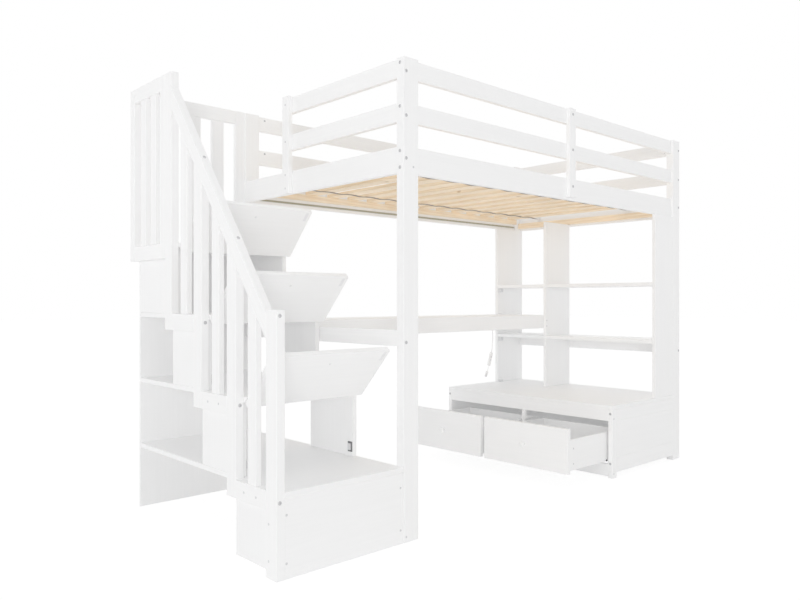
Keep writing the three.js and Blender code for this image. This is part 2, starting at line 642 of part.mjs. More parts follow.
makePosts();
makeRails();
makeUprights();
makeBedBase();
makeStretchers();
makeSteps();
makeStairGuard();
makeLandingGuards();
makeFlaps();
makeDesk();
makeBookcase();
makeBench();
makeDrawers();
makeLead();

// The origin goes to the middle of the floor under the whole object.
const frontMost = RAIL_SETBACK - RAIL_THICKNESS;
furniture.position.set(
  -(GUARD_OUTSIDE + BED_LENGTH) / 2,
  -(frontMost + BED_DEPTH) / 2,
  0,
);
const loftBed = new THREE.Group();
loftBed.add(furniture);

export default loftBed;
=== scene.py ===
import json
import math

import bmesh
import bpy
from mathutils import Euler, Matrix, Vector


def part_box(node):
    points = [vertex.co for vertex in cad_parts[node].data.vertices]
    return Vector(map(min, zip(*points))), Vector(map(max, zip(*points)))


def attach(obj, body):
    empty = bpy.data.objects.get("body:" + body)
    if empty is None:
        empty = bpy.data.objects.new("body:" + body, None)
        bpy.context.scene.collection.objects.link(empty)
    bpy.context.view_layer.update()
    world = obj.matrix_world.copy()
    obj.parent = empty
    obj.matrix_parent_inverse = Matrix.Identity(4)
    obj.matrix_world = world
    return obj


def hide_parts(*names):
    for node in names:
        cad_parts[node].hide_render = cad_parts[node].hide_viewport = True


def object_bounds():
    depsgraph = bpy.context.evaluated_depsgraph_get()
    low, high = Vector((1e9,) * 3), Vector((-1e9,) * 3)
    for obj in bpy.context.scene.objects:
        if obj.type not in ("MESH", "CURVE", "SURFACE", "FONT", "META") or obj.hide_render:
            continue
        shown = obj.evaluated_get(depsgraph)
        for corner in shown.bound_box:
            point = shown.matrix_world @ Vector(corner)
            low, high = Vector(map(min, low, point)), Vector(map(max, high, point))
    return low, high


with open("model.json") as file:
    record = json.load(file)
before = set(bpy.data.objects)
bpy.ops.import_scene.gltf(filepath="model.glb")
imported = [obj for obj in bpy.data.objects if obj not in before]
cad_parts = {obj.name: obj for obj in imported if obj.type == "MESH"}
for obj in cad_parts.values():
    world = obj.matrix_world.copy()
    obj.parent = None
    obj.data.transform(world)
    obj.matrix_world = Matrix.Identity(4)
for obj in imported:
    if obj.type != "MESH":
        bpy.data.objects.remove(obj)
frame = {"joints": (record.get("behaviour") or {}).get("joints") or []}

cad_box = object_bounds()

# Camera
# It stands level in front of the stairs' corner, a little higher than the
# desk, and looks along the bed.
CAMERA_PLACE = (-2.4722, -2.3829, 0.8424)
CAMERA_TURN = -42.74
CAMERA_LENS = 32.70
HORIZON_SHIFT = 1 / 800


def add_object(name, data):
    """A new object in the scene that holds the data."""
    item = bpy.data.objects.new(name, data)
    bpy.context.scene.collection.objects.link(item)
    return item


camera_data = bpy.data.cameras.new("camera")
camera_data.sensor_width = 36
camera_data.lens = CAMERA_LENS
camera_data.shift_y = HORIZON_SHIFT
camera_data.clip_start = 0.05
camera = add_object("camera", camera_data)
camera.location = CAMERA_PLACE
camera.rotation_euler = (math.radians(90), 0, math.radians(CAMERA_TURN))
bpy.context.scene.camera = camera

# Power lead
# A thin white cable hangs from a clip under the desk board. A moulded
# controller with two buttons sits in it, and a short tail ends in a plug.
LEAD_Y = 0.183
LEAD_THICKNESS = 0.005
TAIL_THICKNESS = 0.0032
LEAD_PLACES = [
    (0.5810, 0.7277), (0.5810, 0.7160), (0.5816, 0.7040), (0.5832, 0.6900),
    (0.5854, 0.6740), (0.5872, 0.6580), (0.5876, 0.6440), (0.5864, 0.6300),
    (0.5846, 0.6170), (0.5832, 0.6050), (0.5825, 0.5940), (0.5818, 0.5840),
    (0.5802, 0.5758), (0.5784, 0.5700), (0.5766, 0.5643),
]
TAIL_PLACES = [
    (0.5540, 0.4921), (0.5522, 0.4863), (0.5502, 0.4800), (0.5474, 0.4740),
    (0.5440, 0.4682), (0.5411, 0.4623),
]
CONTROLLER_TOP = (0.5765, 0.564)
CONTROLLER_LEAN = 17.4
CONTROLLER_SIZE = (0.019, 0.010, 0.075)
CONTROLLER_EDGE = 0.0028
BUTTON_SIZE = (0.009, 0.010)
BUTTON_HEIGHTS = (-0.026, -0.044)
BUTTON_PROUD = 0.0007
BUTTON_EDGE = 0.0006
PLUG_TOP = (0.541, 0.462)
PLUG_LEAN = 25.8
PLUG_SIZE = (0.016, 0.008, 0.020)
PLUG_EDGE = 0.002
PLUG_NOSE_SIZE = (0.012, 0.0045, 0.011)
PLUG_NOSE_EDGE = 0.0004
OVERLAP = 0.001


def new_material(name):
    """A node material, its tree and its shader."""
    material = bpy.data.materials.new(name)
    material.use_nodes = True
    return material, material.node_tree, material.node_tree.nodes["Principled BSDF"]


def feed(node, inputs):
    """Sets a node's inputs to values, or links them to outputs. A node given as a
    value stands for its first output."""
    for key, value in inputs.items():
        if isinstance(value, bpy.types.Node):
            value = value.outputs[0]
        if isinstance(value, bpy.types.NodeSocket):
            node.id_data.links.new(value, node.inputs[key])
        else:
            node.inputs[key].default_value = value


def add_node(tree, kind, inputs=None, **settings):
    """A node with its settings and its inputs."""
    node = tree.nodes.new(kind)
    for key, value in settings.items():
        setattr(node, key, value)
    feed(node, inputs or {})
    return node


def mix(tree, share, first, second, blend_type="MIX"):
    """A mix of two colours, each a colour or a node."""
    colours = [(*item, 1) if isinstance(item, tuple) else item for item in (first, second)]
    inputs = {"Fac": share, "Color1": colours[0], "Color2": colours[1]}
    return add_node(tree, "ShaderNodeMixRGB", inputs, blend_type=blend_type)


def speckle(tree, place, scale, detail, distortion=0.0):
    """Noise over a place."""
    inputs = {"Vector": place, "Scale": scale, "Detail": detail, "Distortion": distortion}
    return add_node(tree, "ShaderNodeTexNoise", inputs)


def relief(tree, height, strength, distance):
    """A fine relief, for a shader's normal."""
    inputs = {"Height": height, "Strength": strength, "Distance": distance}
    return add_node(tree, "ShaderNodeBump", inputs)


def grained(name, light, dark, roughness, grain=900.0, metallic=0.0):
    """A finish with a fine even grain: moulded plastic, or plated metal."""
    material, tree, shader = new_material(name)
    spots = speckle(tree, add_node(tree, "ShaderNodeTexCoord").outputs["Object"], grain, 2.0)
    feed(shader, {
        "Base Color": mix(tree, spots, light, dark), "Roughness": roughness,
        "Metallic": metallic, "Normal": relief(tree, spots, 0.25, 0.0001),
    })
    return material


def mesh_from(name, bm):
    """A mesh that holds a finished bmesh."""
    mesh = bpy.data.meshes.new(name)
    bm.to_mesh(mesh)
    bm.free()
    return mesh


def object_from(name, bm, finishes):
    """An object at the origin that holds a finished bmesh."""
    mesh = mesh_from(name, bm)
    for finish in finishes:
        mesh.materials.append(finish)
    return add_object(name, mesh)


def settle(piece, slot, *stands_for, body="bed_frame"):
    """Ties a finished piece to its body and the nodes it stands for; slot is not used."""
    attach(piece, body)
    if stands_for:
        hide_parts(*stands_for)
    return piece


def ease(bm, edges, radius, segments):
    """Rounds edges, with smooth new faces."""
    done = bmesh.ops.bevel(
        bm, geom=edges, offset=radius, segments=segments, profile=0.5, affect="EDGES",
        clamp_overlap=True, material=-1,
    )
    for face in done["faces"]:
        face.smooth = True


def moulded_block(bm, width, y, z, radius, finish=0):
    """Adds a block with rounded edges. y and z each hold where it starts and ends."""
    low, high = (-width / 2, y[0], z[0]), (width / 2, y[1], z[1])
    made = bmesh.ops.create_cube(bm, size=1.0)["verts"]
    for vert in made:
        vert.co = Vector([low[i] + (high[i] - low[i]) * (vert.co[i] + 0.5) for i in range(3)])
    for face in {face for vert in made for face in vert.link_faces}:
        face.material_index = finish
    ease(bm, list({edge for vert in made for edge in vert.link_edges}), radius, 3)


def hang(piece, top, lean):
    """Moves a mesh made below the origin to hang from top, its foot to the left."""
    turn = Matrix.Rotation(math.radians(lean), 4, "Y")
    piece.data.transform(Matrix.Translation((top[0], LEAD_Y, top[1])) @ turn)
    return piece


def lead_curve(name, places, thickness):
    """A cable of even thickness along places in the plane of the hanging lead."""
    data = bpy.data.curves.new(name, "CURVE")
    data.dimensions = "3D"
    data.bevel_depth = thickness / 2
    data.bevel_resolution = 4
    data.resolution_u = 6
    data.use_fill_caps = True
    spline = data.splines.new("BEZIER")
    spline.bezier_points.add(len(places) - 1)
    for point, (x, z) in zip(spline.bezier_points, places):
        point.co = (x, LEAD_Y, z)
        point.handle_left_type = point.handle_right_type = "AUTO"
    data.materials.append(lead_white)
    return add_object(name, data)


lead_white = grained("lead_white", (0.90, 0.90, 0.90), (0.86, 0.86, 0.86), 0.42)
button_grey = grained("button_grey", (0.76, 0.76, 0.77), (0.71, 0.71, 0.72), 0.5)
zinc = grained("zinc", (0.62, 0.62, 0.63), (0.50, 0.50, 0.51), 0.42, 700.0, 0.8)

width, depth, length = CONTROLLER_SIZE
shell = bmesh.new()
moulded_block(shell, width, (-depth / 2, depth / 2), (-length, 0), CONTROLLER_EDGE)
for middle in BUTTON_HEIGHTS:
    moulded_block(
        shell, BUTTON_SIZE[0], (-depth / 2 - BUTTON_PROUD, -depth / 2 + OVERLAP),
        (middle - BUTTON_SIZE[1] / 2, middle + BUTTON_SIZE[1] / 2), BUTTON_EDGE, 1,
    )
controller = object_from("controller", shell, [lead_white, button_grey])
hang(controller, CONTROLLER_TOP, CONTROLLER_LEAN)
settle(controller, "white_plastic", "lead_controller")

width, depth, length = PLUG_SIZE
shell = bmesh.new()
moulded_block(shell, width, (-depth / 2, depth / 2), (-length, 0), PLUG_EDGE)
width, depth, nose = PLUG_NOSE_SIZE
moulded_block(
    shell, width, (-depth / 2, depth / 2), (-length - nose, -length + OVERLAP), PLUG_NOSE_EDGE, 1,
)
plug = hang(object_from("plug", shell, [lead_white, button_grey]), PLUG_TOP, PLUG_LEAN)
settle(plug, "white_plastic", "lead_plug")

cable = lead_curve("cable", LEAD_PLACES, LEAD_THICKNESS)
settle(cable, "white_plastic", "lead_cable")
tail = lead_curve("tail", TAIL_PLACES, TAIL_THICKNESS)
settle(tail, "white_plastic", "lead_tail")

# Bed frame
# Planed solid wood, sprayed white: four posts, the rails between them, two
# uprights that steady the guard rails, and a stretcher low on each end.
EDGE = 0.0016
EASED_ANGLE = 25
PAINT_LIGHT = (0.925, 0.925, 0.925)
PAINT_DARK = (0.905, 0.905, 0.906)
GRAIN_SIZE = (0.008, 0.35)
# The number of an axis is also that of the paint whose grain follows it. A
# piece's own finishes come after the three paints.
X, Y, Z, OWN, OWN_2 = range(5)
FRAME_BOARDS = [
    "bed_post_front_left", "bed_post_front_right", "bed_post_back_left",
    "bed_post_back_right", "guard_upright_front", "guard_upright_left",
    "stretcher_left", "stretcher_right",
] + [
    f"{rail}_{side}"
    for rail in ("side_rail", "guard_rail_lower", "guard_rail_upper")
    for side in ("front", "back", "left", "right")
]


def remap(tree, value, start, end, low=0.0, high=1.0):
    """A value whose range from start to end is spread from low to high."""
    inputs = {"Value": value, "From Min": start, "From Max": end, "To Min": low, "To Max": high}
    return add_node(tree, "ShaderNodeMapRange", inputs)


def reckon(tree, operation, *values):
    """A calculation with values and nodes."""
    return add_node(tree, "ShaderNodeMath", dict(enumerate(values)), operation=operation)


def drawn_out(tree, place, axis, size, lean=0.0):
    """Gives a pattern one size across an axis, and another along it. lean tips the
    axis up about X, in degrees."""
    scale = [size[0]] * 3
    scale[axis] = size[1]
    return add_node(tree, "ShaderNodeMapping", {
        "Vector": place, "Scale": scale, "Rotation": (math.radians(lean), 0, 0),
    }, vector_type="TEXTURE")


def painted_wood(name, axis, lean=0.0):
    """White paint over wood, with a faint grain along an axis."""
    material, tree, shader = new_material(name)
    place = add_node(tree, "ShaderNodeTexCoord").outputs["Object"]
    grain = speckle(tree, drawn_out(tree, place, axis, GRAIN_SIZE, lean), 1.0, 5.0, 0.6)
    cloud = speckle(tree, place, 2.2, 2.0)
    stipple = speckle(tree, place, 420.0, 2.0)
    streaks = reckon(tree, "MULTIPLY", remap(tree, grain, 0.34, 0.66), 0.7)
    share = reckon(tree, "MULTIPLY_ADD", remap(tree, cloud, 0.3, 0.7), 0.3, streaks)
    height = reckon(tree, "MULTIPLY_ADD", stipple, 0.25, grain)
    feed(shader, {
        "Base Color": mix(tree, share, PAINT_DARK, PAINT_LIGHT),
        "Roughness": remap(tree, cloud, 0.3, 0.7, 0.42, 0.54), "Specular IOR Level": 0.35,
        "Normal": relief(tree, height, 0.35, 0.0003),
    })
    return material


paints = [painted_wood(f"white_paint_{name}", axis) for axis, name in enumerate("xyz")]


def skin(bm, rings):
    """Joins rings of points into a closed solid. A ring may be a single point."""
    steps = max(len(ring) for ring in rings)
    for lower, upper in zip(rings, rings[1:]):
        for i in range(steps):
            j = (i + 1) % steps
            corners = [lower[i % len(lower)], lower[j % len(lower)]]
            corners += [upper[j % len(upper)], upper[i % len(upper)]]
            bm.faces.new(list(dict.fromkeys(corners)))
    for ring in (rings[0], rings[-1]):
        if len(ring) > 1:
            bm.faces.new(ring)
    bmesh.ops.recalc_face_normals(bm, faces=bm.faces)


def point(axis, level, pair):
    """A point at a level of an axis, and at a pair of the two other coordinates."""
    place = list(pair)
    place.insert(axis, level)
    return Vector(place)


def slab(outline, axis, low, high, finish=None, edge=EDGE):
    """A board with eased edges: an outline drawn across an axis, and drawn out along
    it from low to high. With no finish given, the grain follows its longest side."""
    bm = bmesh.new()
    skin(bm, [
        [bm.verts.new(point(axis, level, pair)) for pair in outline] for level in (low, high)
    ])
    if finish is None:
        reach = [max(v.co[i] for v in bm.verts) - min(v.co[i] for v in bm.verts) for i in range(3)]
        finish = reach.index(max(reach))
    corners = [e for e in bm.edges if e.calc_face_angle(0) > math.radians(EASED_ANGLE)]
    ease(bm, corners, edge, 2)
    for face in bm.faces:
        face.material_index = finish
    return mesh_from("board", bm)


def board(low, high, finish=None, edge=EDGE):
    """A straight board between two corners."""
    outline = [(low[0], low[1]), (high[0], low[1]), (high[0], high[1]), (low[0], high[1])]
    return slab(outline, Z, low[2], high[2], finish, edge)


def assemble(name, boards, stands_for=(), body="bed_frame", extra=(), slot="white_paint"):
    """One piece from several boards. extra holds its own finishes."""
    bm = bmesh.new()
    for mesh in boards:
        bm.from_mesh(mesh)
        bpy.data.meshes.remove(mesh)
    return settle(object_from(name, bm, [*paints, *extra]), slot, *stands_for, body=body)


for node in FRAME_BOARDS:
    assemble(f"{node}_wood", [board(*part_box(node))], [node])

# Slat base
# Fifteen planed pine slats, stapled to two webbing straps and rolled out on
# pine ledgers that are screwed to the rails.
SLAT_COUNT = 15
SLAT_WIDTH = 0.064
SLAT_PITCH = 0.128
SLAT_THICKNESS = 0.015
SLAT_INSET = 0.002
SLAT_EDGE = 0.0022
SLAT_SHIFT = (0.0012, 0.0016, 0.0)
SHIFT_SEED = 11
STRAP_MIDDLES = (-0.247, 0.358)
STRAP_WIDTH = 0.017
STRAP_THICKNESS = 0.0012
STRAP_SAG = 0.0035
STRAP_STEPS = 8
STRAP_WANDER = 0.0012
WANDER_RATE = 0.35
RING_SIZE = (0.038, 0.9)
KNOT_SIZE = (0.20, 0.45)
PINE_LIGHT = (1.0, 0.86, 0.68)
PINE_DARK = (0.87, 0.68, 0.47)
# The tone of the painted shade on the slats' side faces.
SIDE_SHADE = (0.92, 0.88, 0.82)
KNOT = (0.44, 0.25, 0.12)


def planed_pine(name, axis):
    """Bare pine: soft growth lines along an axis, a change of tone from slat to
    slat, painted shade on the side faces that a mesh marks, and a few small knots."""
    material, tree, shader = new_material(name)
    place = add_node(tree, "ShaderNodeTexCoord").outputs["Object"]
    along, spread = (drawn_out(tree, place, axis, size) for size in (RING_SIZE, KNOT_SIZE))
    rings = add_node(tree, "ShaderNodeTexWave", {
        "Vector": along, "Scale": 1.3, "Distortion": 5.0, "Detail": 3.0, "Detail Scale": 1.2,
    }, bands_direction="DIAGONAL")
    fibres = speckle(tree, along, 9.0, 6.0)
    patch = speckle(tree, place, 4.0, 1.0)
    knots = add_node(tree, "ShaderNodeTexVoronoi", {"Vector": spread, "Scale": 1.5})
    side_shade = add_node(tree, "ShaderNodeAttribute", attribute_name="side_shade")
    wood = mix(tree, remap(tree, rings.outputs["Fac"], 0.1, 1.0, 0.0, 0.40), PINE_LIGHT, PINE_DARK)
    fine = remap(tree, fibres, 0.35, 0.7, 0.93, 1.03)
    tone = remap(tree, patch, 0.35, 0.65, 0.95, 1.04)
    toned = mix(tree, 1.0, wood, reckon(tree, "MULTIPLY", fine, tone), "MULTIPLY")
    # Painted shade: darkens the side faces that the mesh marks.
    side_shaded = mix(tree, side_shade.outputs["Fac"], toned, SIDE_SHADE, "MULTIPLY")
    feed(shader, {
        "Base Color": mix(tree, remap(tree, knots, 0.03, 0.07, 0.75, 0.0), side_shaded, KNOT),
        "Roughness": 0.62, "Specular IOR Level": 0.3,
        "Normal": relief(tree, fibres, 0.4, 0.0003),
    })
    return material


def copies_tree(name, in_a_row):
    """Copies a shape along a straight line with a small random shift, or to the
    points of the piece's own mesh, turned as each point's facing says."""
    sockets = {"Geometry": "Geometry", "Shape": "Object", "Finish": "Material"}
    if in_a_row:
        sockets.update(Count="Int", First="Vector", Step="Vector", Shift="Vector")
    tree = bpy.data.node_groups.new(name, "GeometryNodeTree")
    for label, kind in sockets.items():
        tree.interface.new_socket(label, in_out="INPUT", socket_type=f"NodeSocket{kind}")
    tree.interface.new_socket("Geometry", in_out="OUTPUT", socket_type="NodeSocketGeometry")
    given = add_node(tree, "NodeGroupInput").outputs
    shape = add_node(tree, "GeometryNodeObjectInfo", {"Object": given["Shape"]})
    copies = add_node(
        tree, "GeometryNodeInstanceOnPoints", {"Instance": shape.outputs["Geometry"]},
    )
    if in_a_row:
        line = add_node(tree, "GeometryNodeMeshLine", {
            "Count": given["Count"], "Start Location": given["First"], "Offset": given["Step"],
        })
        least = add_node(
            tree, "ShaderNodeVectorMath", {0: given["Shift"], "Scale": -1.0}, operation="SCALE",
        )
        chance = add_node(tree, "FunctionNodeRandomValue", {
            "Min": least, "Max": given["Shift"], "Seed": SHIFT_SEED,
        }, data_type="FLOAT_VECTOR")
        moved = add_node(tree, "GeometryNodeSetPosition", {"Geometry": line, "Offset": chance})
        feed(copies, {"Points": moved})
    else:
        facing = add_node(
            tree, "GeometryNodeInputNamedAttribute", {"Name": "facing"}, data_type="FLOAT_VECTOR",
        )
        feed(copies, {"Points": given["Geometry"], "Rotation": facing})
    real = add_node(tree, "GeometryNodeRealizeInstances", {"Geometry": copies})
    painted = add_node(
        tree, "GeometryNodeSetMaterial", {"Geometry": real, "Material": given["Finish"]},
    )
    add_node(tree, "NodeGroupOutput", {"Geometry": painted})
    return tree


def make_copies(name, tree, shape_mesh, points=None, **values):
    """Runs a tree on a new object and keeps the result as a plain mesh."""
    shape = add_object(f"{name}_shape", shape_mesh)
    maker = add_object(f"{name}_maker", points or bpy.data.meshes.new(name))
    modifier = maker.modifiers.new("copies", "NODES")
    modifier.node_group = tree
    keys = {
        item.name: item.identifier for item in tree.interface.items_tree
        if item.in_out == "INPUT"
    }
    for label, value in {"Shape": shape, **values}.items():
        modifier[keys[label]] = value
    bpy.context.view_layer.update()
    seen = maker.evaluated_get(bpy.context.evaluated_depsgraph_get())
    piece = add_object(name, bpy.data.meshes.new_from_object(seen))
    maker.modifiers.remove(modifier)
    for helper in (shape, maker):
        bpy.data.objects.remove(helper)
    return piece


row_of_copies = copies_tree("row_of_copies", True)
pine_along_x = planed_pine("bare_pine_x", X)
pine_along_y = planed_pine("bare_pine_y", Y)
mat_low, mat_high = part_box("slat_mat")
slat_foot = mat_high.z - SLAT_THICKNESS
slat = board(
    (-SLAT_WIDTH / 2, mat_low.y + SLAT_INSET, slat_foot),
    (SLAT_WIDTH / 2, mat_high.y - SLAT_INSET, mat_high.z), 0, SLAT_EDGE,
)
# Marks the slat's side faces, those facing along X, for painted shade.
side_shade_marks = slat.attributes.new("side_shade", "FLOAT", "FACE")
for face, mark in zip(slat.polygons, side_shade_marks.data):
    mark.value = abs(face.normal.x)
slats = make_copies(
    "slats", row_of_copies, slat,
    Count=SLAT_COUNT, First=(mat_low.x + SLAT_WIDTH / 2, 0.0, 0.0),
    Step=(SLAT_PITCH, 0.0, 0.0), Shift=SLAT_SHIFT, Finish=pine_along_y,
)
settle(slats, "bare_pine", "slat_mat")

webbing, tree, shader = new_material("strap_webbing")
weave = add_node(tree, "ShaderNodeTexChecker", {
    "Vector": add_node(tree, "ShaderNodeTexCoord").outputs["Object"], "Scale": 500.0,
    "Color1": (0.36, 0.32, 0.29, 1), "Color2": (0.25, 0.22, 0.20, 1),
})
ribs = relief(tree, weave.outputs["Fac"], 0.5, 0.0003)
feed(shader, {"Base Color": weave, "Roughness": 0.85, "Normal": ribs})

strap_start = mat_low.x + SLAT_WIDTH / 2
strap_rows = int((mat_high.x - strap_start) / SLAT_PITCH * STRAP_STEPS) + 1
for number, middle in enumerate(STRAP_MIDDLES, 1):
    bm = bmesh.new()
    rows = []
    for i in range(strap_rows):
        x = strap_start + SLAT_PITCH * i / STRAP_STEPS
        top = slat_foot - STRAP_SAG * (1 - math.cos(2 * math.pi * i / STRAP_STEPS)) / 2
        wander = STRAP_WANDER * math.sin(i * WANDER_RATE + number)
        rows.append([
            bm.verts.new((x, middle + wander + side * STRAP_WIDTH / 2, top - drop))
            for side, drop in ((-1, 0), (1, 0), (1, STRAP_THICKNESS), (-1, STRAP_THICKNESS))
        ])
    skin(bm, rows)
    settle(object_from(f"strap_{number}", bm, [webbing]), "bare_pine")

for side, finish in (("front", pine_along_x), ("back", pine_along_x), ("right", pine_along_y)):
    node = f"slat_ledger_{side}"
    assemble(f"{node}_wood", [board(*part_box(node), OWN)], [node], extra=[finish], slot="bare_pine")

# Light strip
# A thin flexible strip with small yellow light chips, stuck to the inside of
# the back side rail, under the slats.
STRIP_HEIGHT = 0.010
STRIP_MIDDLE = 1.309
STRIP_THICKNESS = 0.0009
CHIP_SIZE = (0.0050, 0.0012, 0.0050)
CHIP_PITCH = 0.0125
THIN_EDGE = 0.0002
SMALL_EDGE = 0.0003
rail_low, rail_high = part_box("side_rail_back")
strip_face = rail_low.y - STRIP_THICKNESS
strip_base = grained("strip_base", (0.55, 0.55, 0.50), (0.47, 0.47, 0.43), 0.5)
chip_yellow = grained("chip_yellow", (0.34, 0.28, 0.08), (0.26, 0.21, 0.05), 0.35)
assemble("light_strip", [board(
    (rail_low.x, strip_face, STRIP_MIDDLE - STRIP_HEIGHT / 2),
    (rail_high.x, rail_low.y, STRIP_MIDDLE + STRIP_HEIGHT / 2), OWN, THIN_EDGE,
)], extra=[strip_base], slot="white_plastic")
chip_corner = Vector((CHIP_SIZE[0] / 2, 0, CHIP_SIZE[2] / 2))
chips = make_copies(
    "light_chips", row_of_copies,
    board(-chip_corner, chip_corner + Vector((0, CHIP_SIZE[1], 0)), 0, SMALL_EDGE),
    Count=int((rail_high.x - rail_low.x) / CHIP_PITCH) - 1,
    First=(rail_low.x + CHIP_PITCH, strip_face - CHIP_SIZE[1], STRIP_MIDDLE),
    Step=(CHIP_PITCH, 0.0, 0.0), Shift=(0.0, 0.0, 0.0), Finish=chip_yellow,
)
settle(chips, "white_plastic")

# Stair cases
# Painted boards: each tread runs back as a shelf and stands on two short
# walls. A fixed panel closes the lowest step, and one board the whole back.
TREAD = 0.018
CASE_WALL = 0.018
RIGHT_INSET = 0.0037
CASE_FOOT = 0.005
RISER = 0.265
RUN = 0.233
WALL_SETBACK = 0.021
WALL_LENGTH = 0.266
PANEL_SETBACK = 0.002
SEAM = 0.0003
CASES = ("step_case_1", "step_case_2", "step_case_3", "landing_case")
stair_low, stair_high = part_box("step_case_1")
for level, node in enumerate(CASES):
    low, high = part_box(node)
    under = high.z - TREAD
    foot = CASE_FOOT if level == 0 else low.z
    front = stair_low.y + RUN * level + WALL_SETBACK
    back = stair_high.y if node == CASES[-1] else front + WALL_LENGTH
    right = high.x - RIGHT_INSET
    boards = [
        board((low.x, low.y, under), high, X),
        board((low.x, front, foot), (low.x + CASE_WALL, back, under - SEAM), Z),
        board((right - CASE_WALL, front, foot), (right, back, under - SEAM), Z),
    ]
    if level == 0:
        panel_corner = (high.x, front - SEAM, under - SEAM)
        boards.append(board((low.x, low.y + PANEL_SETBACK, 0), panel_corner, X))
    assemble(f"{node}_boards", boards, [node])
assemble("stair_back_board", [board(*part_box("stair_back_panel"))], ["stair_back_panel"])

# Flaps
# Three painted boards close the upper steps. Each hangs on two steel hinges
# and has a turned knob outside, and two plates inside that meet the catches.
FLAP_WIDTH = 0.482
FLAP_HEIGHT = 0.236
FLAP_THICKNESS = 0.018
FLAP_OPEN = 137.3
FLAP_CORNER = 0.010
CORNER_STEPS = 6
KNOB_FROM_EDGE = 0.051
FLAP_KNOB = [
    (0, -0.001), (0.006, -0.001), (0.006, 0.004), (0.0095, 0.008), (0.0108, 0.0115),
    (0.0096, 0.0142), (0.0055, 0.0150), (0, 0.0150),
]
SCREW_CAP = [(0, -0.0006), (0.0048, -0.0006), (0.0048, 0.0004), (0.0030, 0.0009), (0, 0.0009)]
HINGE_LENGTH = 0.050
HINGE_FROM_SIDE = 0.110
LEAF_REACH = (0.003, 0.017)
LEAF_THICKNESS = 0.0011
LEAF_GAP = 0.0001
LEAF_BEND = (0.0004, 0.0018)
LEAF_BEND_FOOT = 0.0017
KNUCKLES = 3
KNUCKLE_RADIUS = 0.0021
KNUCKLE_GAP = 0.0004
AXIS_DROP = 0.004
PLATE_SIZE = (0.013, 0.039)
PLATE_SUNK = 0.0004
PLATE_PROUD = 0.0009
PLATE_FROM_SIDE = 0.0135
PLATE_FROM_EDGE = 0.010
CATCH_PLATE = (0.0016, 0.025, 0.038)
CATCH_BLOCK = (0.006, 0.013, 0.024)
CATCH_SETBACK = 0.003
CATCH_DROP = 0.226
FINE_EDGE = 0.0006
FACING = {
    "left": (0, math.radians(-90), 0), "right": (0, math.radians(90), 0),
    "front": (math.radians(90), 0, 0), "back": (math.radians(-90), 0, 0),
}


def turned(profile, place, facing, finish, steps=28):
    """A turned shape: pairs of radius and height, standing on place."""
    bm = bmesh.new()
    move = Matrix.Translation(place) @ Euler(FACING[facing]).to_matrix().to_4x4()
    rings = []
    for radius, height in profile:
        count = steps if radius else 1
        angles = [2 * math.pi * i / steps for i in range(count)]
        rings.append([
            bm.verts.new(move @ Vector((radius * math.cos(a), radius * math.sin(a), height)))
            for a in angles
        ])
    skin(bm, rings)
    for face in bm.faces:
        face.smooth = True
        face.material_index = finish
    return mesh_from("turned", bm)


def barrel(place, length):
    """A hinge's knuckle, which lies along X."""
    profile = [(0, 0), (KNUCKLE_RADIUS, 0), (KNUCKLE_RADIUS, length), (0, length)]
    return turned(profile, place, "right", OWN, 14)


def quarter(middle, start):
    """The points of a flap's rounded corner. start is in degrees."""
    angles = [math.radians(start + 90 * i / CORNER_STEPS) for i in range(CORNER_STEPS + 1)]
    return [
        (middle[0] + FLAP_CORNER * math.cos(a), middle[1] + FLAP_CORNER * math.sin(a))
        for a in angles
    ]


catch_dark = grained("catch_dark", (0.22, 0.22, 0.23), (0.17, 0.17, 0.18), 0.5)
pale_steel = grained("pale_steel", (0.72, 0.72, 0.73), (0.66, 0.66, 0.67), 0.5, 700.0)
plate_pale = grained("plate_pale", (0.85, 0.85, 0.86), (0.81, 0.81, 0.82), 0.45, 700.0)
half = FLAP_WIDTH / 2
flap_outline = [
    (half, 0), (-half, 0),
    *quarter((-half + FLAP_CORNER, -FLAP_HEIGHT + FLAP_CORNER), 180),
    *quarter((half - FLAP_CORNER, -FLAP_HEIGHT + FLAP_CORNER), 270),
]
hinge_starts = (-half + HINGE_FROM_SIDE, half - HINGE_FROM_SIDE - HINGE_LENGTH)
knob_height = KNOB_FROM_EDGE - FLAP_HEIGHT
plate_foot = PLATE_FROM_EDGE - FLAP_HEIGHT
plate_low = (FLAP_THICKNESS - PLATE_SUNK, plate_foot)
plate_high = (FLAP_THICKNESS + PLATE_PROUD, plate_foot + PLATE_SIZE[1])
